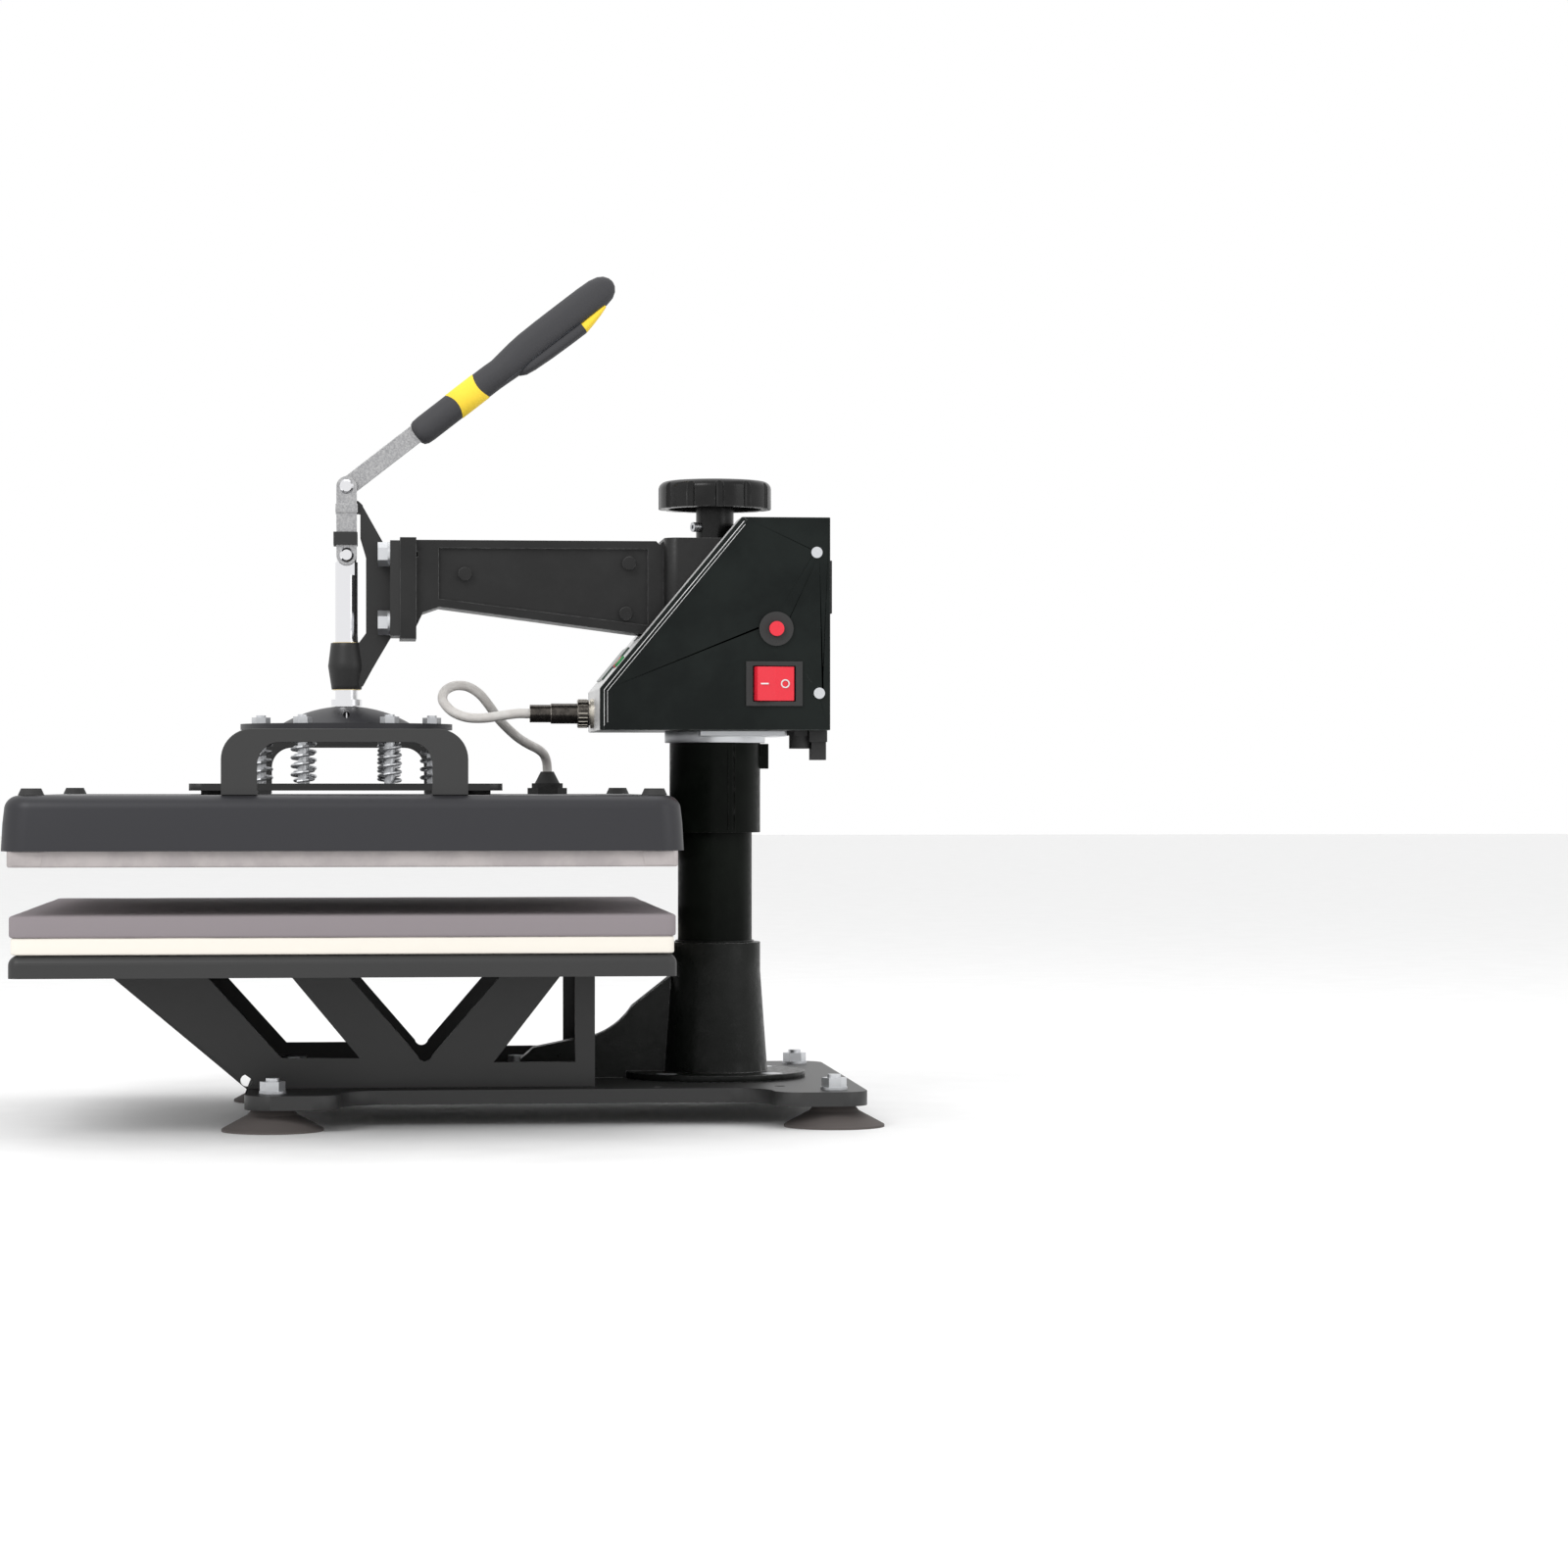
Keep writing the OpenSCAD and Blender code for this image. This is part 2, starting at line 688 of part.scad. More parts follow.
module pivot_pin() {
  color([0.8, 0.8, 0.82]) translate([shaft_x, -web_half, pivot_z]) rod_y(pin_d / 2, 2 * web_half);
}

// ---------------------------------------------------------------- control box

box_top = head_top + 10.7;
box_low = box_top - box_h;
box_half = box_w / 2;
knee_h = 25.3;
knee = [-box_front, box_low + knee_h];
brow = [11, box_top];
slope = unit(brow - knee);
inward = [slope[1], -slope[0]];
slope_angle = atan2(slope[1], slope[0]);
slot_half = block_half + 1;
slot_z = head_top - block_h - 2.5;
hub_clear = 19;

module box_outline() {
  polygon([[-box_front, box_low], knee, brow, [box_back, box_top], [box_back, box_low]]); }

// The sheet box behind the panel: floor, rear and roof
roof_gap = 1.25;

module control_box() {
  inner = box_half - box_t;
  color([0.1, 0.1, 0.1]) at_column() difference() {
    union() {
      translate([-box_front + box_t, -inner, box_low]) cube([box_front + box_back - box_t, 2 * inner, box_t]);
      translate([box_back - box_t, -inner, box_low]) cube([box_t, 2 * inner, box_h]);
      translate([brow[0] + roof_gap, -inner, box_top - box_t])
        cube([box_back - brow[0] - roof_gap, 2 * inner, box_t]);
    }
    translate([0, 0, box_low - cut]) cylinder(r = sleeve_r + 0.5, h = box_t + 2 * cut);
    translate([0, 0, head_top]) cylinder(r = hub_clear, h = 20);
    gland_holes();
    translate([box_back - box_t - cut, relay_y, relay_z]) rod_x(2.2, box_t + 2 * cut);
  }
}

gland_x = [49, 60];
gland_y = -40;
gland_r = 5;

module gland_holes() {
  translate([gland_x[0], gland_y, box_low - cut]) cylinder(r = gland_r, h = box_t + 2 * cut);
}

module mains_gland() {
  color([0.06, 0.06, 0.06]) at_column() {
    difference() {
      translate([gland_x[0], gland_y, box_low]) {
        translate([0, 0, -3]) hexagon(14, 3);
        translate([0, 0, -11]) cylinder(r = 6.6, h = 8);
        cylinder(r = gland_r, h = box_t + 4);
      }
      translate([gland_x[0], gland_y, box_low - 12]) cylinder(r = 3.4, h = 20);
    }
    translate([gland_x[1] - 6, gland_y - 9, box_low - 7]) cube([11, 18, 7]);
    translate([gland_x[1] - 4.5, gland_y - 7, box_low - 18]) cube([9, 14, 11]);
  }
}

// A cover plate with a raised border along its front and its slope
border = 2.4;
border_out = 0.9;

module side_cover() {
  upright(box_t, -box_half + box_t / 2) box_outline();
  upright(border_out, -box_half - border_out / 2) polygon([
    [-box_front, box_low], knee, brow, brow + border * inward + [1.4, 0],
    knee + border * [1, -0.4], [-box_front + border, box_low]
  ]);
}

switch_x = 30.7;
switch_z = box_low + 28.2;
reset_x = 31.9;
reset_z = box_low + 61.6;
screw_x = [56.7, 58.2];
screw_z = [box_low + 108.1, box_low + 22.5];
box_screw_r = 1.8;
reset_hole = 6.2;

module screw_holes() {
  for (i = [0, 1]) translate([screw_x[i], -box_half - cut, screw_z[i]]) rod_y(box_screw_r, box_t + 2 * cut);
}

module right_side_cover() {
  color([0.11, 0.12, 0.12]) at_column() difference() {
    side_cover();
    screw_holes();
    translate([switch_x - switch_w / 2 + 2.3, -box_half - cut, switch_z - switch_h / 2 + 2])
      cube([switch_w - 4.6, box_t + 2 * cut, switch_h - 4]);
    translate([reset_x, -box_half - cut, reset_z]) rod_y(reset_hole, box_t + 2 * cut);
  }
}

module left_side_cover() {
  color([0.11, 0.12, 0.12]) at_column() mirror([0, 1, 0]) difference() {
    side_cover();
    screw_holes();
  }
}

// The light panel: a short upright face, then the slope, slotted for the arm and the wheel's hub
module panel_side() {
  under = [brow + box_t * inward, [-box_front + box_t, knee[1] - 0.5]];
  polygon([[-box_front, box_low], knee, brow, under[0], under[1], [-box_front + box_t, box_low]]);
}

display_y = 20;
display_w = 58;
display_d = 26;
display_at = 21;
button_y = [-24, -37, -50];
button_r = 4;
button_hole = 4.4;
button_out = 1.6;
button_in = 3.5;
socket_y = 8;
socket_z = box_low + 11.1;
socket_r = 7.9;

// Places a piece on the slope, with Z out of the panel and X up the slope
module on_slope(along, y) {
  p = knee + along * slope;
  translate([p[0], y, p[1]]) rotate([0, -slope_angle, 0]) children();
}

module control_panel() {
  inner = box_half - box_t;
  color([0.84, 0.84, 0.84]) at_column() difference() {
    upright(2 * inner) panel_side();
    translate([-box_front - cut, -slot_half, slot_z]) cube([box_front + 40, 2 * slot_half, 90]);
    translate([0, 0, head_top]) cylinder(r = hub_clear, h = 20);
    for (y = button_y) on_slope(display_at, y) translate([0, 0, -5]) cylinder(r = button_hole, h = 10);
    on_slope(display_at, display_y) cube([display_d - 4, display_w - 4, 10], center = true);
    translate([-box_front - cut, socket_y, socket_z]) rod_x(socket_r, box_t + 2 * cut);
  }
}

module display() {
  color([0.12, 0.2, 0.16]) at_column() on_slope(display_at, display_y) {
    translate([-display_d / 2, -display_w / 2, 0]) cube([display_d, display_w, 1.2]);
    translate([-display_d / 2 + 2.1, -display_w / 2 + 2.1, -4]) cube([display_d - 4.2, display_w - 4.2, 4]);
  }
}

module panel_button(y) {
  at_column() on_slope(display_at, y) translate([0, 0, -button_in])
    cylinder(r = button_r, h = button_in + button_out);
}
module set_button() { color([0.3, 0.32, 0.35]) panel_button(button_y[0]); }
module up_button() { color([0.75, 0.15, 0.15]) panel_button(button_y[1]); }
module down_button() { color([0.2, 0.45, 0.25]) panel_button(button_y[2]); }

board_gap = 9;
board_t = 1.6;

module controller_board() {
  color([0.1, 0.32, 0.18]) at_column() on_slope(display_at, 0) {
    translate([-15, -54, -board_gap - board_t]) cube([30, 108, board_t]);
    four_corners(12, 60 - 9.5) translate([0, 0, -board_gap]) cylinder(r = 2.2, h = board_gap - box_t);
    translate([-9, -46, -board_gap - board_t - 9]) cube([18, 34, 9]);
  }
}

relay_y = 24;
relay_z = box_low + 87;
relay_w = 44;
relay_h = 58;
relay_t = 22;
sink_low = box_low + 71.3;
sink_h = 32.4;
sink_t = 2;

// The relay inside the rear wall, its screw, and the plate that cools it from outside
module power_relay() {
  color([0.1, 0.1, 0.1]) at_column() {
    translate([box_back - box_t - relay_t, relay_y - relay_w / 2, relay_z - relay_h / 2])
      cube([relay_t, relay_w, relay_h]);
    translate([box_back - box_t - cut, relay_y, relay_z]) rod_x(2.2, box_t + 1.5);
    translate([box_back, -box_half + 8, sink_low]) cube([sink_t, box_w - 30, sink_h]);
  }
}

bracket_plate_t = 3.2;
bracket_ring_h = 4;
plate_x = [-12.3, 42.6];

// The zinc plate that holds the box on the sleeve, with its clamp ring
module box_bracket() {
  color([0.72, 0.72, 0.72]) at_column() difference() {
    union() {
      translate([plate_x[0], -40, box_low - bracket_plate_t])
        cube([plate_x[1] - plate_x[0], 80, bracket_plate_t]);
      translate([0, 0, box_low - bracket_plate_t - bracket_ring_h])
        cylinder(r = sleeve_r + 3, h = bracket_ring_h + bracket_plate_t);
    }
    translate([0, 0, box_low - 10]) cylinder(r = sleeve_r, h = 12);
    translate([gland_x[0], gland_y, box_low - 10]) cylinder(r = 9, h = 12);
  }
}

module box_screws() {
  color([0.82, 0.82, 0.82]) at_column() both_sides()
    for (i = [0, 1]) translate([screw_x[i], 0, screw_z[i]]) {
      translate([0, -box_half - 1.3, 0]) rod_y(3.4, 1.3);
      translate([0, -box_half, 0]) rod_y(box_screw_r, box_t + 3);
    }
}

// Rocker switch: a bezel with a pocket, and a rocker that turns about an upright pin
bezel_out = 1.6;
pocket_x = 13;
pocket_z = 10.8;
pocket_depth = 13;
rocker_r = 12.7;
rocker_half = 10.4;
rocker_axis = 3;

module switch_bezel() {
  wx = switch_w / 2;
  wz = switch_h / 2;
  color([0.05, 0.05, 0.05]) at_column() translate([switch_x, -box_half, switch_z]) difference() {
    union() {
      translate([-wx, -bezel_out, -wz]) cube([2 * wx, bezel_out, 2 * wz]);
      translate([-wx + 2.4, 0, -wz + 2.1]) cube([2 * wx - 4.8, pocket_depth + 1.5, 2 * wz - 4.2]);
    }
    translate([-pocket_x, -bezel_out - cut, -pocket_z])
      cube([2 * pocket_x, pocket_depth + bezel_out + cut, 2 * pocket_z]);
  }
}

// Plan view of the rocker, with X along the cover and Y out of it, seen from above
module rocker_plan() {
  intersection() {
    circle(rocker_r);
    polygon([[-rocker_r, -5], [-rocker_r, 8], [0.5, 4.8], [rocker_r, 4], [rocker_r, -5]]);
  }
}

module switch_rocker() {
  color([0.8, 0.13, 0.17]) at_column() translate([switch_x, -box_half + rocker_axis, switch_z - rocker_half])
    linear_extrude(2 * rocker_half) mirror([0, 1]) rocker_plan();
}

reset_out = 2;
reset_button_r = 4.5;
reset_proud = 2.8;

module reset_ring() {
  color([0.06, 0.06, 0.06]) at_column() translate([reset_x, -box_half, reset_z]) difference() {
    union() {
      translate([0, -reset_out, 0]) rod_y(10.4, reset_out);
      rod_y(reset_hole - 0.1, 20);
    }
    translate([0, -reset_out - cut, 0]) rod_y(reset_button_r + 0.1, reset_out + cut + 14);
  }
}

module reset_button() {
  color([0.85, 0.12, 0.18]) at_column()
    translate([reset_x, -box_half - reset_out - reset_proud, reset_z])
      rod_y(reset_button_r, reset_proud + reset_out + 8);
}

// Screw connector of the heater cord: a socket on the panel and a plug with a coupling nut
module heater_socket() {
  color([0.72, 0.66, 0.52]) at_column() translate([-box_front, socket_y, socket_z]) difference() {
    union() {
      translate([-2, 0, 0]) rod_x(9.2, 2);
      translate([-9, 0, 0]) rod_x(7.3, 9);
      rod_x(socket_r - 0.05, 14);
    }
    translate([-10, 0, 0]) rod_x(5.6, 8);
  }
}

plug_l = 37;
plug_nut = 6.2;
plug_x = -box_front - 2.5;

nut_back = 1.2;
plug_seat = 0.3;

module heater_plug() {
  color([0.68, 0.64, 0.56]) at_column() translate([plug_x, socket_y, socket_z]) difference() {
    union() {
      translate([-plug_nut - nut_back, 0, 0]) rod_x(8.7, plug_nut + nut_back - 0.4);
      translate([-24, 0, 0]) rod_x(6.3, 24 - plug_nut - nut_back / 2);
      translate([-plug_l, 0, 0]) rod_x(5.5, plug_l - 20);
    }
    translate([-plug_nut - plug_seat, 0, 0]) rod_x(7.35, plug_nut + 2);
  }
}

// ---------------------------------------------------------------- lever and toggle

lever_bar_w = 11.5;
bar_t = 6;
lobe = 6.2;
plate_in = 6.8;
link_t = 2.5;
link_half = 6.25;
grip_v = -1.2;
bar_in_grip = 18;

// The lever's own frame: X along the lever, Z square to it, from the upper toggle pin
module on_lever() { translate([shaft_x, 0, pin_up_z]) rotate([0, -lever_tilt, 0]) children(); }

module lever_bar() {
  color([0.62, 0.62, 0.63]) difference() {
    union() {
      translate([shaft_x, 0, 0]) upright(bar_t) {
        translate([0, pivot_z]) circle(lobe);
        translate([0, pin_up_z]) circle(lobe);
        translate([-lobe, pivot_z]) square([2 * lobe, crank]);
      }
      on_lever() translate([0, -bar_t / 2, -lever_bar_w / 2])
        cube([grip_start + bar_in_grip, bar_t, lever_bar_w]);
    }
    translate([shaft_x, -bar_t, pivot_z]) rod_y(pin_d / 2 + run_fit, 2 * bar_t);
    translate([shaft_x, -bar_t, pin_up_z]) rod_y(pin_d / 2 + run_fit, 2 * bar_t);
  }
}

band_at = 31;
band_l = 19.4;
band_depth = 1.2;
wide_r = 9.7;
tail_cut = 54;

module lever_grip() {
  r = grip_d / 2;
  wide_x = grip_start + grip_straight;
  color([0.13, 0.13, 0.14]) on_lever() difference() {
    union() {
      translate([grip_start, 0, grip_v]) rod_x(r, grip_straight + 4);
      hull() {
        translate([wide_x, 0, grip_v]) sphere(r = r, $fn = hull_fn);
        translate([wide_x + 23, 0, 0]) sphere(r = wide_r, $fn = hull_fn);
      }
      hull() {
        translate([wide_x + 23, 0, 0]) sphere(r = wide_r, $fn = hull_fn);
        translate([wide_x + grip_wide - wide_r, 0, 0]) sphere(r = wide_r, $fn = hull_fn);
      }
      hull() {
        translate([wide_x + 4, 0, -5]) sphere(r = 5.5, $fn = hull_fn);
        translate([wide_x + 16, 0, -9]) sphere(r = 6, $fn = hull_fn);
        translate([wide_x + tail_cut - 2, -4, -15]) cube([2, 8, 12]);
      }
    }
    translate([0, -bar_t / 2, -lever_bar_w / 2]) cube([grip_start + bar_in_grip, bar_t, lever_bar_w]);
    translate([grip_start + band_at, 0, grip_v]) rotate([0, 90, 0]) tube(r + 2, r - band_depth, band_l);
  }
}

module grip_band() {
  r = grip_d / 2;
  color([0.97, 0.83, 0.15]) on_lever() translate([grip_start + band_at, 0, grip_v]) rotate([0, 90, 0])
    tube(r + 0.3, r - band_depth, band_l);
}

module grip_tail() {
  wide_x = grip_start + grip_straight;
  color([0.97, 0.8, 0.15]) on_lever() difference() {
    hull() {
      translate([wide_x + tail_cut, -4, -15]) cube([2, 8, 12]);
      translate([wide_x + tail_cut + 21, -1.5, -9.6]) cube([1, 3, 4]);
    }
    hull() {
      translate([wide_x + 23, 0, 0]) sphere(r = wide_r, $fn = hull_fn);
      translate([wide_x + grip_wide - wide_r, 0, 0]) sphere(r = wide_r, $fn = hull_fn);
    }
  }
}

// One of the two toggle plates, with a raised bead across it
module link_side() {
  translate([0, pin_low_z]) circle(link_half);
  translate([0, pin_up_z]) circle(link_half);
  translate([-link_half, pin_low_z]) square([2 * link_half, link_c]);
}

bead_z = pin_up_z - 13.4;
bead_h = 5.4;
clip_z = pin_low_z + 6.2;
clip_h = 8;
clip_t = 1.8;

module toggle_links() {
  color([0.6, 0.6, 0.61]) translate([shaft_x, 0, 0]) both_sides() difference() {
    union() {
      upright(link_t, -plate_in - link_t / 2) link_side();
      translate([-6.8, -plate_in - link_t - 1, bead_z - bead_h / 2]) cube([13.6, 1.4, bead_h]);
    }
    for (z = [pin_low_z, pin_up_z]) translate([0, -plate_in - link_t - 2, z]) rod_y(pin_d / 2, link_t + 3);
  }
}

module link_clip() {
  out = plate_in + link_t;
  color([0.1, 0.1, 0.1]) translate([shaft_x, 0, clip_z]) difference() {
    translate([-link_half - clip_t, -out - clip_t, 0])
      cube([2 * link_half + clip_t + 0.5, 2 * (out + clip_t), clip_h]);
    translate([-link_half, -out, -cut]) cube([2 * link_half + 2, 2 * out, clip_h + 2 * cut]);
  }
}

tang_half = 5;
stub_in = 1.4;
head_h = 1.8;

// A full pin through the lever at the top, and two short stubs that face the shaft's tang
module link_pins() {
  out = plate_in + link_t;
  color([0.85, 0.85, 0.87]) translate([shaft_x, 0, 0]) {
    translate([0, -out, pin_up_z]) rod_y(pin_d / 2, 2 * out);
    both_sides() {
      translate([0, -out, pin_low_z]) rod_y(pin_d / 2, link_t + stub_in);
      for (z = [pin_low_z, pin_up_z]) translate([0, -out, z]) rotate([90, 0, 0])
        cylinder(r1 = 4.6, r2 = 3.2, h = head_h);
    }
  }
}

// ---------------------------------------------------------------- heater

cap_at = cover_w / 2 - 17;
cap_shank = 3;
handle_screw_r = 2.5;
handle_y = cover_w / 2 - 11;
handle_t = 4;
foot_in = 20;
foot_t = 3;
leg_x = 60.2;
screw_hole_gap = 0.1;
gland_at = [128, 100];

module handle_screw_spots() {
  four_corners(leg_x, handle_y - handle_t / 2 - foot_in / 2) children();
}

module heater_cover() {
  color([0.1, 0.1, 0.1]) at_shaft() difference() {
    translate([0, 0, cover_z]) soft_slab(cover_w, cover_h, cover_r);
    translate([0, 0, cover_z - cut])
      soft_slab(cover_w - 2 * cover_wall, cover_h - cover_wall + cut, cover_r - cover_wall);
    four_corners(cap_at, cap_at) translate([0, 0, cover_z]) cylinder(r = cap_shank, h = cover_h + cut);
    handle_screw_spots() translate([0, 0, cover_z]) cylinder(r = handle_screw_r, h = cover_h + cut);
    translate([gland_at[0], gland_at[1], cover_z]) cylinder(r = 6, h = cover_h + cut);
  }
}

module heating_platen() {
  color([0.73, 0.7, 0.69]) at_shaft(platen_z) linear_extrude(platen_t) round_square(platen_w, 3);
}

element_r = 4;
runs = 6;
run_pitch = 52;
run_half = 120;

// A heating tube laid to and fro on the platen
module heating_element() {
  z = platen_z + platen_t + element_r;
  first = -(runs - 1) / 2 * run_pitch;
  color([0.5, 0.45, 0.4]) at_shaft(z) for (i = [0 : runs - 1]) {
    translate([-run_half, first + i * run_pitch, 0]) rod_x(element_r, 2 * run_half);
    side = i % 2 == 0 ? 1 : -1;
    if (i < runs - 1) translate([side * run_half, first + (i + 0.5) * run_pitch, 0])
      rotate(side > 0 ? -90 : 90)
      rotate_extrude(angle = 180) translate([run_pitch / 2, 0]) circle(element_r);
  }
}

board_w = 330;

module insulation_board() {
  color([0.8, 0.76, 0.66]) at_shaft(platen_z + platen_t + 2 * element_r)
    translate([-board_w / 2, -board_w / 2, 0]) cube([board_w, board_w, 5]);
}

plate_half = [94.5, 55];

module spring_plate() {
  color([0.08, 0.08, 0.08]) at_shaft() {
    translate([0, 0, cover_top + plate_lift])
      linear_extrude(spring_plate_t) round_rect(-plate_half, plate_half, 8);
    four_corners(plate_half[0] - 14, plate_half[1] - 14) translate([0, 0, cover_top])
      cylinder(r = 7, h = plate_lift);
  }
}

stud_r = 3;
spring_stud_out = 5.4;

module on_springs() { round_about(6) translate([spring_circle, 0, 0]) children(); }

module spring_studs() {
  color([0.78, 0.78, 0.8]) at_shaft(spring_z) on_springs() {
    cylinder(r = stud_r, h = spring_l + flange_t + spring_stud_out);
    translate([0, 0, spring_l + flange_t + 0.1]) hexagon(10, 4);
  }
}

turns = 6;
per_turn = 12;
coil_sides = 6;

// A coil whose first and last turns lie closer than the rest
coil_r = (spring_d - spring_wire) / 2;
coil_end = spring_wire / 2 + 0.1;
coil_points = [
  for (i = [0 : turns * per_turn]) let (a = i * 360 / per_turn)
  [coil_r * cos(a), coil_r * sin(a), coil_end + (spring_l - 2 * coil_end) * i / (turns * per_turn)]
];

module springs() {
  color([0.75, 0.75, 0.77]) at_shaft(spring_z) on_springs()
    sweep(coil_points, spring_wire / 2, coil_sides, [0, 0, 1]);
}

handle_half = 70.5;
handle_h = 38.2;
grip_open = 50;
grip_open_h = 30.4;

module handle_face() {
  z = cover_top;
  intersection() {
    translate([-handle_half, z]) square([2 * handle_half, handle_h]);
    difference() {
      round_rect([-handle_half, z - 40], [handle_half, z + handle_h], 17.5);
      round_rect([-grip_open, z - 40], [grip_open, z + grip_open_h], 13);
    }
  }
}

module side_handles() {
  leg_w = handle_half - grip_open;
  color([0.09, 0.09, 0.09]) at_shaft() both_sides() difference() {
    union() {
      upright(handle_t, -handle_y) handle_face();
      for (x = [-handle_half, grip_open]) translate([x, -handle_y, cover_top])
        cube([leg_w, handle_t / 2 + foot_in, foot_t]);
    }
    handle_screw_spots() translate([0, 0, cover_top - cut])
      cylinder(r = handle_screw_r + screw_hole_gap, h = foot_t + 2 * cut);
  }
}

module handle_screws() {
  color([0.7, 0.7, 0.72]) at_shaft() handle_screw_spots() {
    translate([0, 0, cover_top + foot_t]) cylinder(r1 = 4.6, r2 = 3.4, h = 2.4);
    translate([0, 0, cover_top - 5]) cylinder(r = handle_screw_r, h = foot_t + 5);
  }
}

// Tapered caps over the bolts that hold the cover down on the platen
module cover_caps() {
  color([0.05, 0.05, 0.05]) at_shaft() four_corners(cap_at, cap_at) {
    translate([0, 0, cover_top]) cylinder(r1 = 7.6, r2 = 5.75, h = 4);
    translate([0, 0, platen_z + platen_t]) cylinder(r = cap_shank, h = cover_top - platen_z - platen_t);
  }
}

gland_top = 14.5;

module cable_gland() {
  color([0.05, 0.05, 0.05]) at_shaft() translate([gland_at[0], gland_at[1], cover_top]) {
    hexagon(22, 4);
    translate([0, 0, 4]) cylinder(r = 10, h = 3);
    translate([0, 0, 7]) cylinder(r1 = 8, r2 = 4.2, h = gland_top - 7);
    translate([0, 0, -5]) cylinder(r = 6, h = 5);
  }
}

// Route of the heater cord, from the plug's end face to the top of its gland
cord_start = [col_x + plug_x - plug_l, socket_y, socket_z];
cord_end = [shaft_x + gland_at[0], gland_at[1], cover_top + gland_top];
cord_points = [
  [-8, 0, 0], [-18, 0, -1.4], [-28, 0, -2.8], [-38, 0, -2.6], [-46, 2, 0], [-51.5, 5, 4.5],
  [-54, 8.5, 9.5], [-52, 12, 14.5], [-46, 15.5, 17.5], [-38, 19, 17], [-30.5, 22.5, 12.5], [-24.5, 27, 5.5],
  [-19, 33, -2], [-12.5, 43, -8.5], [-5.5, 55, -14.2], [1.5, 67, -18.3], [8, 78, -21.3]
];
// Ends of the run that the points above were set out for, and how far the real run differs
cord_run = [14.8, 92, -35.8];
cord_shift = cord_end - cord_start - cord_run;
cord_lead = 1.5;
cord_landing = [[-3.34, -5.94, 12.01], [-1.58, -2.81, 9.49], [-0.41, -0.73, 5.81]];
cord_bends = concat(
  [cord_start - [cord_lead, 0, 0]],
  [for (i = [0 : len(cord_points) - 1])
    cord_start + cord_points[i] + cord_shift * (i + 1) / (len(cord_points) + 1)],
  [for (p = cord_landing) cord_end + p], [cord_end + [0, 0, cord_lead]]
);
cord_steps = 3;

// A smooth curve through the route's points
function curve(p, i, t) =
  let (a = p[max(i - 1, 0)], b = p[i], c = p[i + 1], d = p[min(i + 2, len(p) - 1)])
  0.5 * (2 * b + (c - a) * t + (2 * a - 5 * b + 4 * c - d) * t * t + (3 * b - a - 3 * c + d) * t * t * t);
function curved(p, steps) = [
  for (i = [0 : len(p) - 2], k = [0 : steps - 1]) curve(p, i, k / steps), p[len(p) - 1]
];

cord_line = concat([cord_start], curved(cord_bends, cord_steps), [cord_end]);

module heater_cord() {
  color([0.84, 0.81, 0.79]) sweep(cord_line, cord_d / 2, 10, [0, 1, 0]);
}

// ---------------------------------------------------------------- press shaft and dome

shoulder_z = pin_low_z - 12.2;
collar_ring_r = 9.5;

module press_shaft() {
  color([0.85, 0.86, 0.88]) at_shaft() difference() {
    union() {
      translate([0, 0, dome_z + 2]) cylinder(r = shaft_d / 2, h = shoulder_z - dome_z - 2);
      translate([0, 0, dome_z + dome_h + 0.1]) cylinder(r = collar_ring_r, h = 4);
      intersection() {
        translate([0, 0, shoulder_z]) cylinder(r = shaft_d / 2, h = pin_low_z + 6 - shoulder_z);
        upright(2 * tang_half) union() {
          translate([0, pin_low_z]) circle(6);
          translate([-shaft_d / 2, shoulder_z - cut]) square([shaft_d, 9]);
          translate([-6, shoulder_z]) square([12, pin_low_z - shoulder_z]);
        }
      }
    }
    translate([0, -tang_half - cut, pin_low_z]) rod_y(pin_d / 2, 2 * tang_half + 2 * cut);
  }
}

module press_dome() {
  ball = (dome_r * dome_r + dome_h * dome_h) / (2 * dome_h);
  color([0.1, 0.1, 0.1]) at_shaft() difference() {
    union() {
      translate([0, 0, flange_z]) cylinder(r = flange_r, h = flange_t);
      intersection() {
        translate([0, 0, dome_z + dome_h - ball]) sphere(r = ball, $fn = 128);
        translate([0, 0, flange_z]) cylinder(r = dome_r + 0.01, h = flange_t + dome_h + cut);
      }
    }
    translate([0, 0, dome_z + 2]) cylinder(r = shaft_d / 2, h = dome_h + cut);
    translate([0, 0, flange_z - cut]) on_springs() cylinder(r = stud_r + 0.6, h = flange_t + 2 * cut);
    translate([0, -dome_r, dome_z + 5.4]) rod_y(2, dome_r - shaft_d / 2 + 1);
  }
}

base_plate();
suction_cups();
base_fasteners();
column_socket();
inner_column();
lift_nut();
platen_support();
lower_platen();
felt_pad();
silicone_pad();
thrust_collar();
hand_wheel();
lift_screw();
wheel_set_screw();
swing_sleeve();
press_arm();
lever_bracket();
bracket_bolts();
guide_bush();
pivot_pin();
control_box();
right_side_cover();
left_side_cover();
control_panel();
display();
switch_bezel();
reset_ring();
box_screws();
heater_socket();
heater_plug();
mains_gland();
controller_board();
power_relay();
box_bracket();
switch_rocker();
reset_button();
set_button();
up_button();
down_button();
lever_bar();
lever_grip();
grip_band();
grip_tail();
toggle_links();
link_clip();
link_pins();
heater_cover();
heating_platen();
heating_element();
insulation_board();
spring_plate();
spring_studs();
springs();
side_handles();
handle_screws();
cover_caps();
cable_gland();
heater_cord();
press_shaft();
press_dome();
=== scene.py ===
"""Looks of a swing-away heat press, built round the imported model: metres, +X to the column, +Z up."""
import logging
import math
from dataclasses import dataclass, field
from enum import Enum
from typing import Iterable, Sequence

import bmesh
import bpy
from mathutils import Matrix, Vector, noise


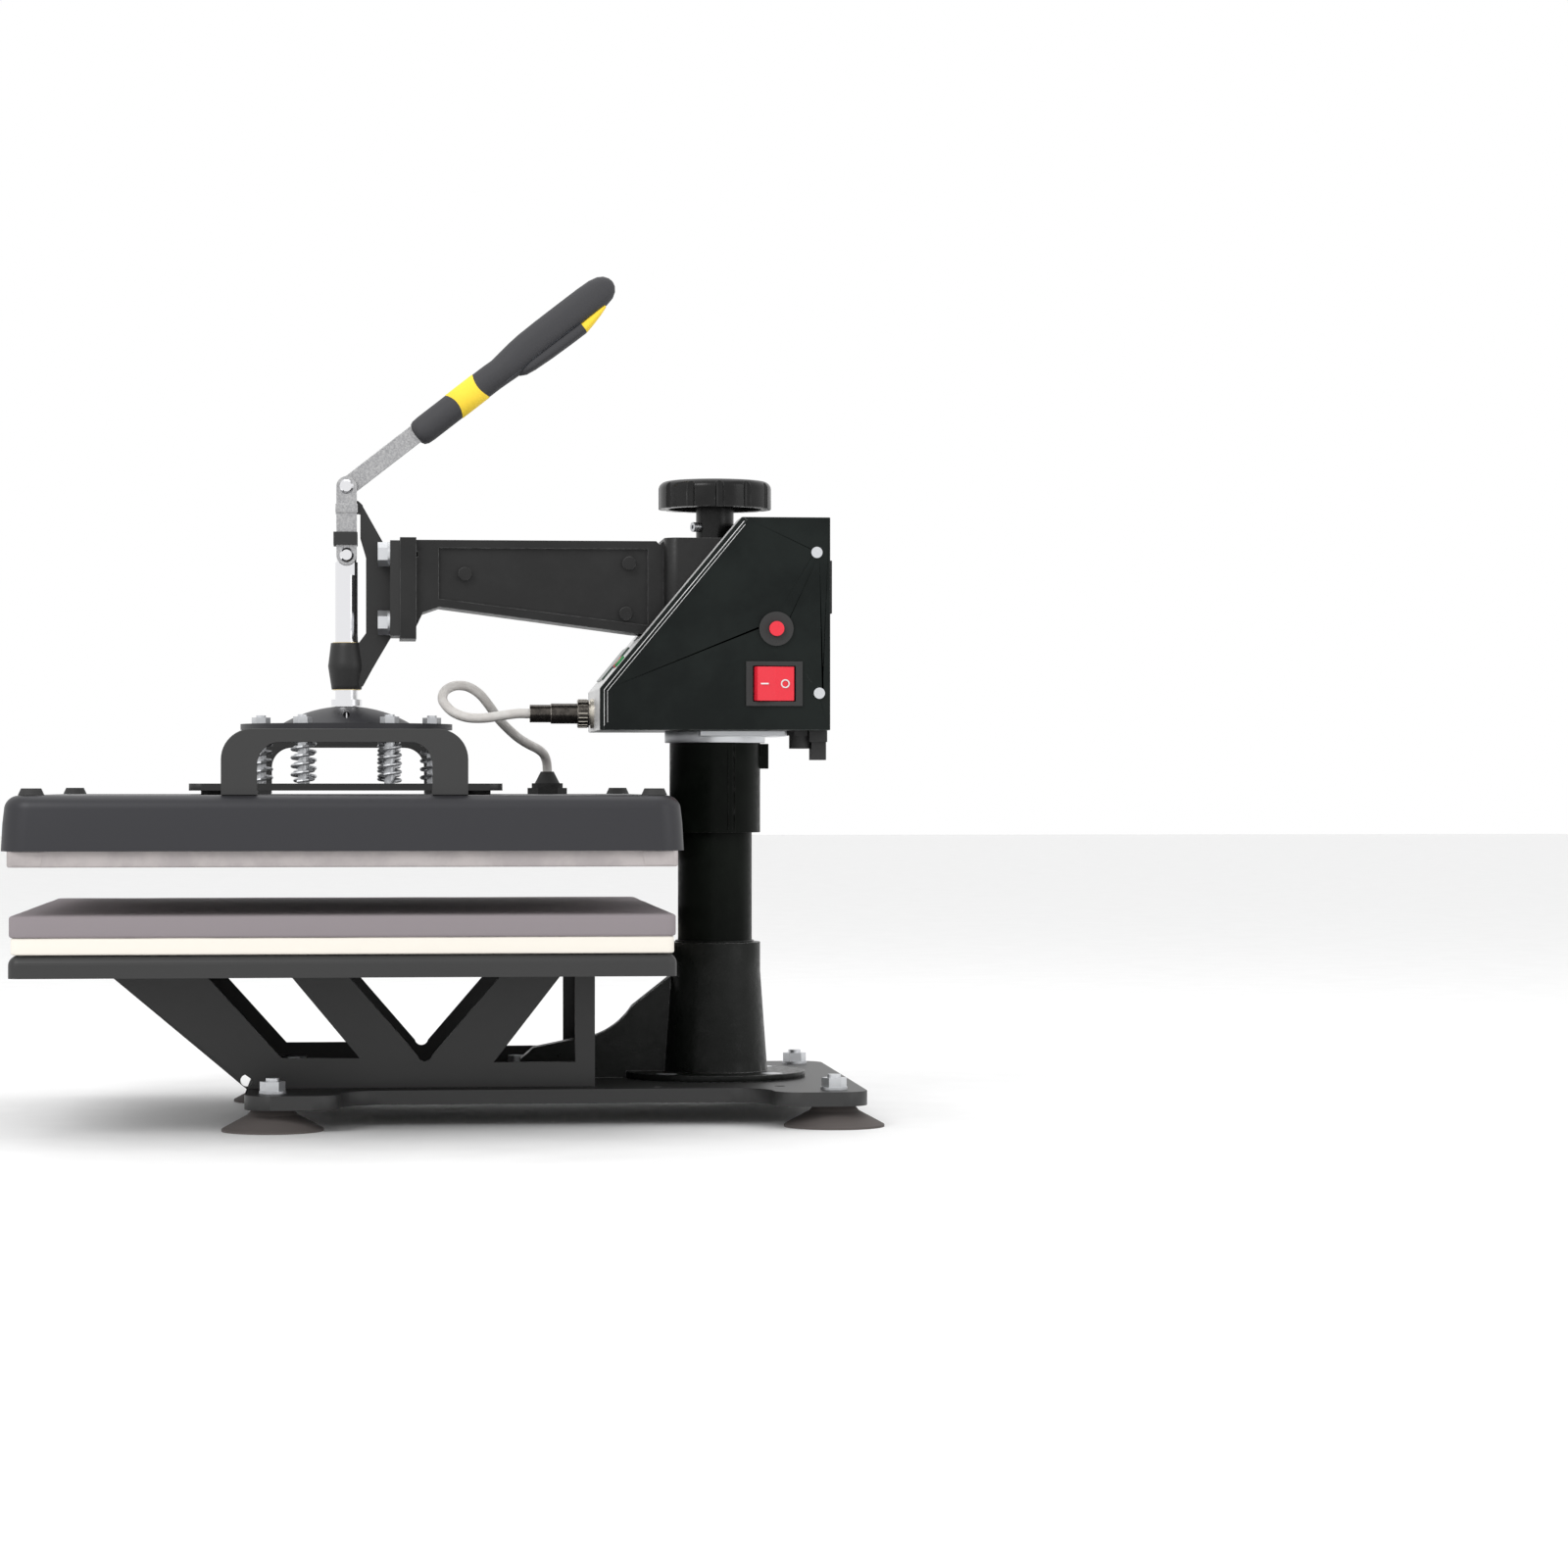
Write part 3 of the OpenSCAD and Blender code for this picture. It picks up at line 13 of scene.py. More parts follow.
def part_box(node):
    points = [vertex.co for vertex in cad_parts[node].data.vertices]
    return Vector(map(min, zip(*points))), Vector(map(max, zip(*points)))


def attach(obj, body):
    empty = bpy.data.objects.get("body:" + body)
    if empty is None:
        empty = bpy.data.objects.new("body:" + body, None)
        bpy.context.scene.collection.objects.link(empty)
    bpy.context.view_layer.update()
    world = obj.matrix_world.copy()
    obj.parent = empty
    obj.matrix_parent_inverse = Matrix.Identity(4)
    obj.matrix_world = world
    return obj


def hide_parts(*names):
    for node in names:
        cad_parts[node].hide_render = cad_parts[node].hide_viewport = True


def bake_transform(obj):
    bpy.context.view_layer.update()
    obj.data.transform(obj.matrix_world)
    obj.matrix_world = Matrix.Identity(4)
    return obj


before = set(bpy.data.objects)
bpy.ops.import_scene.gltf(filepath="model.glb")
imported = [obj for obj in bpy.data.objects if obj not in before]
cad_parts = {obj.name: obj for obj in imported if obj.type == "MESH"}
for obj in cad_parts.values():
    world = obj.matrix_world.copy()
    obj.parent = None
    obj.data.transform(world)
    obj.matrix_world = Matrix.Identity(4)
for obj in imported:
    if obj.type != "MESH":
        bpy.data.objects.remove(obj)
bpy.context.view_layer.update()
log = logging.getLogger("heat_press")
MM = 0.001
ROUGH_GRAIN = 0.25
SPECK_SCALE = 1400.0
WEAR_SCALE = 160.0
WELD_GAP = 0.00001
ROUND_ANGLE = math.radians(40)
Ring = list[Vector]


def mm(*values: float) -> Vector:
    """Turns a point given in millimetres into metres.

    Args:
        values: X, Y and Z in millimetres.

    Returns:
        The point in metres.
    """
    return Vector(values) * MM


class Pattern(Enum):
    """How a finish varies over its surface."""

    POWDER = "powder"
    CAST = "cast"
    BRUSHED = "brushed"
    MOULDED = "moulded"
    FELT = "felt"
    FOAM = "foam"
    WOVEN = "woven"


# ------------------------------------------------------------------ finishes


@dataclass(frozen=True)
class Finish:
    """A procedural surface: two colours that mingle, a grain in relief, and wear on the edges."""

    name: str
    colour: tuple[float, float, float]
    tint: tuple[float, float, float]
    pattern: Pattern = Pattern.POWDER
    rough: tuple[float, float] = (0.4, 0.55)
    metal: float = 0.0
    grain: float = 900.0
    relief: float = 0.15
    depth: float = 0.0001
    patch: float = 25.0
    wear: float = 0.0
    wear_colour: tuple[float, float, float] = (0.2, 0.2, 0.2)
    wear_radius: float = 0.0007
    specks: float = 0.0
    speck_colour: tuple[float, float, float] = (0.5, 0.5, 0.5)
    coat: float = 0.0
    coat_rough: float = 0.1
    sheen: float = 0.0
    specular: float = 0.5
    along: tuple[float, float, float] = (1.0, 1.0, 1.0)

    def build(self) -> bpy.types.Material:
        """Makes the node material, or returns the one already made.

        Returns:
            The Blender material.
        """
        if self.name in bpy.data.materials:
            return bpy.data.materials[self.name]
        material = bpy.data.materials.new(self.name)
        material.use_nodes = True
        self._wire(material.node_tree)
        return material

    def _wire(self, tree: bpy.types.NodeTree) -> None:
        """Wires the whole node tree.

        Args:
            tree: The material's node tree.
        """
        shader = tree.nodes["Principled BSDF"]
        shader.inputs["Metallic"].default_value = self.metal
        shader.inputs["Specular IOR Level"].default_value = self.specular
        shader.inputs["Coat Weight"].default_value = self.coat
        shader.inputs["Coat Roughness"].default_value = self.coat_rough
        shader.inputs["Sheen Weight"].default_value = self.sheen
        shader.inputs["Sheen Roughness"].default_value = 0.4
        place = tree.nodes.new("ShaderNodeTexCoord").outputs["Object"]
        stretch = tree.nodes.new("ShaderNodeMapping")
        stretch.inputs["Scale"].default_value = self.along
        tree.links.new(place, stretch.inputs["Vector"])
        patches = self._noise(tree, place, self.patch, 5.0, 0.6)
        colour = self._mix(tree, patches, self.colour, self.tint, 0.35, 0.65)
        height, colour = self._surface(tree, stretch.outputs["Vector"], place, colour)
        if self.specks > 0:
            colour = self._speckle(tree, place, colour)
        if self.wear > 0:
            colour = self._worn(tree, place, colour)
        tree.links.new(colour, shader.inputs["Base Color"])
        rough = tree.nodes.new("ShaderNodeMapRange")
        rough.inputs["From Min"].default_value = 0.3
        rough.inputs["From Max"].default_value = 0.7
        rough.inputs["To Min"].default_value = self.rough[0]
        rough.inputs["To Max"].default_value = self.rough[1]
        uneven = self._noise(tree, stretch.outputs["Vector"], self.grain * ROUGH_GRAIN, 3.0, 0.5)
        tree.links.new(uneven, rough.inputs["Value"])
        tree.links.new(rough.outputs["Result"], shader.inputs["Roughness"])
        bump = tree.nodes.new("ShaderNodeBump")
        bump.inputs["Strength"].default_value = self.relief
        bump.inputs["Distance"].default_value = self.depth
        tree.links.new(height, bump.inputs["Height"])
        tree.links.new(bump.outputs["Normal"], shader.inputs["Normal"])

    @staticmethod
    def _noise(tree: bpy.types.NodeTree, vector: bpy.types.NodeSocket, scale: float, detail: float,
               rough: float) -> bpy.types.NodeSocket:
        """Adds a noise texture and returns its value.

        Args:
            tree: The node tree.
            vector: The texture space.
            scale: Cells to the metre.
            detail: Number of octaves.
            rough: Strength of the finer octaves.

        Returns:
            The noise value's socket.
        """
        node = tree.nodes.new("ShaderNodeTexNoise")
        node.inputs["Scale"].default_value = scale
        node.inputs["Detail"].default_value = detail
        node.inputs["Roughness"].default_value = rough
        tree.links.new(vector, node.inputs["Vector"])
        return node.outputs["Fac"]

    @staticmethod
    def _mix(tree: bpy.types.NodeTree, factor: bpy.types.NodeSocket,
             first: Sequence[float] | bpy.types.NodeSocket, second: Sequence[float],
             low: float, high: float) -> bpy.types.NodeSocket:
        """Blends from one colour to another as a value runs from low to high.

        Args:
            tree: The node tree.
            factor: The value that drives the blend.
            first: Colour, or colour socket, below low.
            second: Colour above high.
            low: Value where the blend starts.
            high: Value where the blend ends.

        Returns:
            The blended colour's socket.
        """
        ramp = tree.nodes.new("ShaderNodeMapRange")
        ramp.interpolation_type = "SMOOTHSTEP"
        ramp.inputs["From Min"].default_value = low
        ramp.inputs["From Max"].default_value = high
        tree.links.new(factor, ramp.inputs["Value"])
        mix = tree.nodes.new("ShaderNodeMix")
        mix.data_type = "RGBA"
        tree.links.new(ramp.outputs["Result"], mix.inputs["Factor"])
        if isinstance(first, bpy.types.NodeSocket):
            tree.links.new(first, mix.inputs["A"])
        else:
            mix.inputs["A"].default_value = (*first, 1.0)
        mix.inputs["B"].default_value = (*second, 1.0)
        return mix.outputs["Result"]

    def _surface(self, tree: bpy.types.NodeTree, vector: bpy.types.NodeSocket, place: bpy.types.NodeSocket,
                 colour: bpy.types.NodeSocket) -> tuple[bpy.types.NodeSocket, bpy.types.NodeSocket]:
        """Adds the relief of the pattern, and any colour that goes with it.

        Args:
            tree: The node tree.
            vector: The stretched texture space.
            place: The plain texture space.
            colour: The colour so far.

        Returns:
            The height socket and the colour socket.
        """
        fine = self._noise(tree, vector, self.grain, 4.0, 0.6)
        if self.pattern is Pattern.CAST:
            lumps = self._noise(tree, place, self.grain * 0.16, 2.0, 0.5)
            return self._add(tree, fine, lumps, 2.2), colour
        if self.pattern in (Pattern.FELT, Pattern.FOAM):
            cells = tree.nodes.new("ShaderNodeTexVoronoi")
            cells.inputs["Scale"].default_value = self.grain * 0.6
            tree.links.new(vector, cells.inputs["Vector"])
            colour = self._mix(tree, fine, colour, tuple(c * 0.72 for c in self.colour), 0.5, 0.8)
            return self._add(tree, fine, cells.outputs["Distance"], 0.8), colour
        if self.pattern is Pattern.WOVEN:
            threads = tree.nodes.new("ShaderNodeTexWave")
            threads.inputs["Scale"].default_value = self.grain
            threads.inputs["Distortion"].default_value = 1.5
            tree.links.new(vector, threads.inputs["Vector"])
            return self._add(tree, fine, threads.outputs["Fac"], 1.0), colour
        if self.pattern is Pattern.BRUSHED:
            streaks = self._noise(tree, vector, self.grain * 0.4, 6.0, 0.7)
            colour = self._mix(tree, streaks, colour, self.tint, 0.45, 0.75)
            return self._add(tree, fine, streaks, 1.0), colour
        return fine, colour

    @staticmethod
    def _add(tree: bpy.types.NodeTree, first: bpy.types.NodeSocket, second: bpy.types.NodeSocket,
             gain: float) -> bpy.types.NodeSocket:
        """Adds one value, times a gain, to another.

        Args:
            tree: The node tree.
            first: The value added to.
            second: The value that is added.
            gain: What the second value is multiplied by.

        Returns:
            The socket of the sum.
        """
        node = tree.nodes.new("ShaderNodeMath")
        node.operation = "MULTIPLY_ADD"
        node.inputs[1].default_value = gain
        tree.links.new(second, node.inputs[0])
        tree.links.new(first, node.inputs[2])
        return node.outputs[0]

    def _speckle(self, tree: bpy.types.NodeTree, place: bpy.types.NodeSocket,
                 colour: bpy.types.NodeSocket) -> bpy.types.NodeSocket:
        """Scatters small specks of another colour.

        Args:
            tree: The node tree.
            place: The plain texture space.
            colour: The colour so far.

        Returns:
            The colour socket with the specks.
        """
        dots = self._noise(tree, place, SPECK_SCALE, 1.0, 0.5)
        drop = self.specks * 0.2
        return self._mix(tree, dots, colour, self.speck_colour, 0.72 - drop, 0.8 - drop)

    def _worn(self, tree: bpy.types.NodeTree, place: bpy.types.NodeSocket,
              colour: bpy.types.NodeSocket) -> bpy.types.NodeSocket:
        """Rubs the paint through on the edges, broken up by noise.

        Args:
            tree: The node tree.
            place: The plain texture space.
            colour: The colour so far.

        Returns:
            The colour socket with the wear.
        """
        soft = tree.nodes.new("ShaderNodeBevel")
        soft.samples = 4
        soft.inputs["Radius"].default_value = self.wear_radius
        hard = tree.nodes.new("ShaderNodeNewGeometry").outputs["Normal"]
        dot = tree.nodes.new("ShaderNodeVectorMath")
        dot.operation = "DOT_PRODUCT"
        tree.links.new(soft.outputs["Normal"], dot.inputs[0])
        tree.links.new(hard, dot.inputs[1])
        edge = tree.nodes.new("ShaderNodeMapRange")
        edge.inputs["From Min"].default_value = 0.995
        edge.inputs["From Max"].default_value = 0.88
        tree.links.new(dot.outputs["Value"], edge.inputs["Value"])
        broken = tree.nodes.new("ShaderNodeMath")
        broken.operation = "MULTIPLY"
        tree.links.new(edge.outputs["Result"], broken.inputs[0])
        tree.links.new(self._noise(tree, place, WEAR_SCALE, 6.0, 0.7), broken.inputs[1])
        low, high = 0.5 - self.wear * 0.4, 0.75 - self.wear * 0.3
        return self._mix(tree, broken.outputs[0], colour, self.wear_colour, low, high)


POWDER = Finish("powder_black", (0.005, 0.0055, 0.005), (0.009, 0.0095, 0.0085), rough=(0.36, 0.5),
                grain=1500, relief=0.25, depth=0.00008, wear=0.25, wear_colour=(0.09, 0.09, 0.09),
                specular=0.14)
COLUMN = Finish("column_black", (0.002, 0.0028, 0.002), (0.0045, 0.006, 0.0045), rough=(0.28, 0.44),
                grain=1100, relief=0.25, depth=0.0001, wear=0.3, wear_colour=(0.08, 0.08, 0.08),
                specular=0.06)
SOCKET = Finish("socket_black", (0.004, 0.005, 0.004), (0.009, 0.01, 0.009), Pattern.CAST,
                rough=(0.26, 0.42), grain=900, relief=0.45, depth=0.0003, wear=0.8,
                wear_colour=(0.34, 0.34, 0.34), specular=0.16)
CASTING = Finish("cast_black", (0.003, 0.003, 0.003), (0.007, 0.007, 0.007), Pattern.CAST,
                 rough=(0.14, 0.28), grain=700, relief=0.8, depth=0.0005, wear=0.3,
                 wear_colour=(0.16, 0.16, 0.16), specular=0.4)
ARM_PAINT = Finish("arm_black", (0.008, 0.008, 0.008), (0.013, 0.013, 0.013), rough=(0.34, 0.5),
                   grain=1300, relief=0.32, depth=0.0001, wear=0.5, wear_colour=(0.13, 0.13, 0.13),
                   specular=0.32)
BOX_PAINT = Finish("box_black", (0.004, 0.006, 0.0055), (0.008, 0.011, 0.010), rough=(0.3, 0.44),
                   grain=1300, relief=0.3, depth=0.0001, wear=0.5, wear_colour=(0.16, 0.17, 0.165),
                   specular=0.14)
ENAMEL = Finish("cover_black", (0.006, 0.006, 0.006), (0.010, 0.010, 0.010), rough=(0.26, 0.38),
                grain=420, relief=0.32, depth=0.00024, coat=0.0, wear=0.15,
                wear_colour=(0.07, 0.07, 0.07), specular=0.2)
ZINC = Finish("zinc", (0.72, 0.72, 0.72), (0.42, 0.42, 0.43), Pattern.BRUSHED, rough=(0.2, 0.4),
              metal=1.0, grain=900, relief=0.2, depth=0.00006, patch=420)
LINK_STEEL = Finish("link_steel", (0.46, 0.46, 0.46), (0.32, 0.32, 0.33), Pattern.BRUSHED,
                    rough=(0.36, 0.56), metal=0.85, grain=1500, relief=0.4, depth=0.00012, patch=900,
                    wear=0.5, wear_colour=(0.75, 0.75, 0.75), specks=0.35, speck_colour=(0.2, 0.2, 0.2))
CHROME = Finish("chrome", (1.0, 1.0, 1.0), (0.13, 0.13, 0.135), Pattern.BRUSHED, rough=(0.05, 0.13),
                metal=1.0, grain=900, relief=0.03, depth=0.00004, patch=4, along=(1.0, 1.0, 0.008))
NICKEL = Finish("nickel", (0.46, 0.43, 0.38), (0.3, 0.27, 0.24), Pattern.BRUSHED, rough=(0.28, 0.46),
                metal=1.0, grain=1500, relief=0.3, depth=0.00008, patch=350, wear=0.4,
                wear_colour=(0.7, 0.66, 0.58))
PLUG = Finish("plug_black", (0.05, 0.045, 0.04), (0.1, 0.09, 0.08), Pattern.BRUSHED, rough=(0.2, 0.36),
              metal=0.9, grain=1500, relief=0.25, depth=0.00008, patch=350, wear=0.9,
              wear_colour=(0.6, 0.56, 0.5))
BRASS = Finish("brass", (0.62, 0.45, 0.2), (0.5, 0.35, 0.14), Pattern.BRUSHED, rough=(0.25, 0.4),
               metal=1.0)
PTFE = Finish("platen_wrap", (0.34, 0.31, 0.31), (0.42, 0.385, 0.38), Pattern.WOVEN, rough=(0.42, 0.6),
              grain=900, relief=0.14, depth=0.00008, patch=45, metal=0.1)
FELT = Finish("felt", (0.36, 0.325, 0.295), (0.45, 0.405, 0.37), Pattern.FELT, rough=(0.85, 0.98),
              grain=1500, relief=0.9, depth=0.0004, patch=90, sheen=0.08, specular=0.1)
FOAM = Finish("silicone", (0.036, 0.029, 0.031), (0.052, 0.042, 0.044), Pattern.FOAM, rough=(0.6, 0.8),
              grain=1600, relief=0.5, depth=0.0002, patch=60, specks=0.5,
              speck_colour=(0.16, 0.135, 0.14), sheen=0.0, specular=0.2)
CORD = Finish("cord_sheath", (0.70, 0.67, 0.64), (0.78, 0.76, 0.73), Pattern.MOULDED, rough=(0.5, 0.65),
              grain=700, relief=0.2, depth=0.0001, patch=120)
PLASTIC = Finish("plastic_black", (0.005, 0.005, 0.005), (0.009, 0.009, 0.009), Pattern.MOULDED,
                 rough=(0.28, 0.4), grain=2200, relief=0.3, depth=0.00008, wear=0.2,
                 wear_colour=(0.09, 0.09, 0.09), specular=0.22)
WHEEL = Finish("wheel_black", (0.004, 0.004, 0.004), (0.009, 0.009, 0.009), Pattern.CAST,
               rough=(0.18, 0.32), grain=420, relief=0.28, depth=0.0002, wear=0.35,
               wear_colour=(0.13, 0.13, 0.13), specular=0.26)
GRIP = Finish("grip_black", (0.008, 0.008, 0.009), (0.018, 0.018, 0.019), Pattern.MOULDED,
              rough=(0.2, 0.36), grain=1600, relief=0.1, depth=0.00005, specular=0.42)
YELLOW = Finish("grip_yellow", (0.92, 0.64, 0.045), (0.84, 0.56, 0.03), Pattern.MOULDED,
                rough=(0.4, 0.55), grain=900, relief=0.12, depth=0.00008)
RED = Finish("switch_red", (0.5, 0.006, 0.016), (0.6, 0.015, 0.028), Pattern.MOULDED, rough=(0.14, 0.26),
             grain=900, relief=0.06, depth=0.00005, coat=0.3)
WHITE_MARK = Finish("mark_white", (0.82, 0.8, 0.8), (0.72, 0.7, 0.7), Pattern.MOULDED, rough=(0.4, 0.5))
SILVER = Finish("panel_silver", (0.62, 0.62, 0.63), (0.7, 0.7, 0.7), rough=(0.32, 0.46), grain=1600,
                relief=0.1, depth=0.00005, wear=0.2, wear_colour=(0.4, 0.4, 0.4))
SCREEN = Finish("screen", (0.012, 0.035, 0.024), (0.018, 0.05, 0.034), Pattern.MOULDED, rough=(0.05, 0.1),
                coat=0.6, relief=0.02)
CUPS = Finish("cup_rubber", (0.02, 0.0165, 0.015), (0.035, 0.029, 0.026), Pattern.MOULDED,
              rough=(0.5, 0.7), grain=900, relief=0.35, depth=0.0002, specks=0.15,
              speck_colour=(0.1, 0.09, 0.08), specular=0.25)
BOARD = Finish("board_green", (0.01, 0.1, 0.035), (0.015, 0.14, 0.05), Pattern.MOULDED, rough=(0.3, 0.4))
FIBRE = Finish("fibre", (0.6, 0.55, 0.42), (0.68, 0.63, 0.5), Pattern.FELT, rough=(0.8, 0.95))
GREY_KEY = Finish("key_grey", (0.1, 0.11, 0.13), (0.13, 0.14, 0.16), Pattern.MOULDED, rough=(0.3, 0.42))
GREEN_KEY = Finish("key_green", (0.03, 0.24, 0.07), (0.04, 0.3, 0.09), Pattern.MOULDED, rough=(0.3, 0.42))
FLOOR = Finish("floor", (0.86, 0.86, 0.86), (0.88, 0.88, 0.88), Pattern.MOULDED, rough=(0.55, 0.7),
               grain=40, relief=0.02)

# ------------------------------------------------------------------ mesh work


class Kit:
    """Mesh helpers that every sub-assembly shares."""

    @staticmethod
    def add(name: str, verts: Iterable[Vector], faces: Iterable[Sequence[int]],
            sharp: float = 35.0) -> bpy.types.Object:
        """Makes a smooth-shaded mesh object, sharp where faces meet steeply.

        Args:
            name: Object name.
            verts: Points in metres.
            faces: Lists of point numbers.
            sharp: Angle in degrees above which an edge stays sharp.

        Returns:
            The new object.
        """
        mesh = bpy.data.meshes.new(name)
        mesh.from_pydata([tuple(v) for v in verts], [], [tuple(f) for f in faces])
        mesh.validate()
        solid = bmesh.new()
        solid.from_mesh(mesh)
        bmesh.ops.recalc_face_normals(solid, faces=solid.faces)
        solid.to_mesh(mesh)
        solid.free()
        return Kit.wrap(name, mesh, sharp)

    @staticmethod
    def wrap(name: str, mesh: bpy.types.Mesh, sharp: float = 35.0) -> bpy.types.Object:
        """Puts a mesh in an object of the scene, smooth but for its sharp edges.

        Args:
            name: Object name.
            mesh: The mesh.
            sharp: Angle in degrees above which an edge stays sharp.

        Returns:
            The object.
        """
        mesh.shade_smooth()
        mesh.set_sharp_from_angle(angle=math.radians(sharp))
        obj = bpy.data.objects.new(name, mesh)
        bpy.context.scene.collection.objects.link(obj)
        return obj

    @staticmethod
    def loft(name: str, rings: Sequence[Ring], sharp: float = 35.0, loop: bool = False) -> bpy.types.Object:
        """Skins a row of rings with equal point counts.

        Args:
            name: Object name.
            rings: The rings, in order.
            sharp: Angle in degrees above which an edge stays sharp.
            loop: Joins the last ring to the first; otherwise a face closes each end.

        Returns:
            The object.
        """
        count = len(rings[0])
        verts = [v for ring in rings for v in ring]
        faces: list[list[int]] = []
        last = len(rings) if loop else len(rings) - 1
        for i in range(last):
            j = (i + 1) % len(rings)
            for k in range(count):
                n = (k + 1) % count
                faces.append([i * count + k, i * count + n, j * count + n, j * count + k])
        if not loop:
            faces.append(list(range(count)))
            faces.append([(len(rings) - 1) * count + k for k in range(count)])
        return Kit.add(name, verts, faces, sharp)

    @staticmethod
    def square_ring(half: tuple[float, float], radius: float, z: float, centre: Vector, steps: int = 6,
                    side: int = 10) -> Ring:
        """Returns a ring round a rectangle with round corners, with points along its sides as well.

        Args:
            half: Half sizes along X and Y.
            radius: Corner radius.
            z: Height.
            centre: Middle of the rectangle in plan.
            steps: Segments in a corner.
            side: Segments along a side.

        Returns:
            The ring's points.
        """
        radius = max(min(radius, half[0] * 0.999, half[1] * 0.999), 1e-5)
        along, across = half
        corners = [(along, across, 0), (-along, across, 90), (-along, -across, 180), (along, -across, 270)]
        ring: Ring = []
        for x, y, turn in corners:
            cx, cy = x - math.copysign(radius, x), y - math.copysign(radius, y)
            for k in range(steps + 1):
                a = math.radians(turn + 90 * k / steps)
                reach = (radius * math.cos(a), radius * math.sin(a))
                ring.append(Vector((centre.x + cx + reach[0], centre.y + cy + reach[1], z)))
        full: Ring = []
        for i, point in enumerate(ring):
            full.append(point)
            if (i + 1) % (steps + 1) == 0:
                after = ring[(i + 1) % len(ring)]
                full += [point.lerp(after, k / side) for k in range(1, side)]
        return full

    @staticmethod
    def lathe(name: str, profile: Sequence[tuple[float, float]], origin: Vector, segments: int = 48,
              axis: Vector = Vector((0, 0, 1)), sharp: float = 35.0) -> bpy.types.Object:
        """Turns a profile about an axis.

        Args:
            name: Object name.
            profile: Pairs of radius and height.
            origin: Point on the axis where the height is nought.
            segments: Sides of the turned shape.
            axis: Direction of the axis.
            sharp: Angle in degrees above which an edge stays sharp.

        Returns:
            The object.
        """
        turn = axis.to_track_quat("Z", "Y").to_matrix()
        rings = []
        for r, z in profile:
            rings.append([origin + turn @ Vector((max(r, 1e-5) * math.cos(a), max(r, 1e-5) * math.sin(a), z))
                          for a in (2 * math.pi * k / segments for k in range(segments))])
        return Kit.loft(name, rings, sharp)

    @staticmethod
    def sweep(name: str, path: Sequence[Vector], radius: float, sides: int = 12) -> bpy.types.Object:
        """Carries a round section along a path without twisting it.

        Args:
            name: Object name.
            path: Points along the middle.
            radius: Radius of the section.
            sides: Sides of the section.

        Returns:
            The object.
        """
        rings: list[Ring] = []
        tangent = (path[1] - path[0]).normalized()
        side = tangent.orthogonal().normalized()
        for i, point in enumerate(path):
            ahead = (path[min(i + 1, len(path) - 1)] - path[max(i - 1, 0)]).normalized()
            side = (tangent.rotation_difference(ahead).to_matrix() @ side)
            side = (side - ahead * side.dot(ahead)).normalized()
            tangent = ahead
            up = tangent.cross(side)
            rings.append([point + radius * (math.cos(a) * side + math.sin(a) * up)
                          for a in (2 * math.pi * k / sides for k in range(sides))])
        return Kit.loft(name, rings, 60.0)

    @staticmethod
    def smooth_path(points: Sequence[Vector], steps: int) -> list[Vector]:
        """Runs a smooth curve through points.

        Args:
            points: The points it goes through.
            steps: Segments between two of them.

        Returns:
            The points along the curve.
        """
        path: list[Vector] = []
        for i in range(len(points) - 1):
            a, b = points[max(i - 1, 0)], points[i]
            c, d = points[i + 1], points[min(i + 2, len(points) - 1)]
            for k in range(steps):
                t = k / steps
                path.append(0.5 * (2 * b + (c - a) * t + (2 * a - 5 * b + 4 * c - d) * t * t
                                   + (3 * b - a - 3 * c + d) * t ** 3))
        path.append(points[-1].copy())
        return path

    @staticmethod
    def block(name: str, low: Vector, high: Vector, round_by: float, segments: int = 3) -> bpy.types.Object:
        """Makes a box between two corners with its edges rounded.

        Args:
            name: Object name.
            low: Low corner.
            high: High corner.
            round_by: Radius of the edges.
            segments: Segments in a rounded edge.

        Returns:
            The object.
        """
        solid = bmesh.new()
        bmesh.ops.create_cube(solid, size=1.0)
        size = high - low
        bmesh.ops.scale(solid, vec=size, verts=solid.verts)
        bmesh.ops.translate(solid, vec=(low + high) / 2, verts=solid.verts)
        bmesh.ops.bevel(solid, geom=list(solid.edges), offset=round_by, segments=segments, profile=0.5,
                        affect="EDGES", clamp_overlap=True)
        mesh = bpy.data.meshes.new(name)
        solid.to_mesh(mesh)
        solid.free()
        return Kit.wrap(name, mesh, 50.0)

    @staticmethod
    def dress(obj: bpy.types.Object, finish: Finish) -> None:
        """Gives an object one finish in all its slots.

        Args:
            obj: The object.
            finish: Its surface.
        """
        obj.data.materials.clear()
        obj.data.materials.append(finish.build())

    @staticmethod
    def place(obj: bpy.types.Object, body: str, slot: str, finish: Finish,
              *stands_for: str) -> bpy.types.Object:
        """Dresses a new piece, rides it on its body and hides the CAD nodes that it stands for.

        Args:
            obj: The piece.
            body: The CAD body that carries it.
            slot: Name of a material slot; not used.
            finish: Its surface.
            stands_for: CAD nodes that it replaces.

        Returns:
            The same piece.
        """
        Kit.dress(obj, finish)
        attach(obj, body)
        if stands_for:
            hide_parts(*stands_for)
        log.info("made %s on %s", obj.name, body)
        return obj


def middle(node: str) -> Vector:
    """Finds the middle of a CAD node.

    Args:
        node: The node's name.

    Returns:
        The middle of its box.
    """
    low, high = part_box(node)
    return (low + high) / 2


COLUMN_AXIS = middle("inner_column")

# ------------------------------------------------------------------ stage


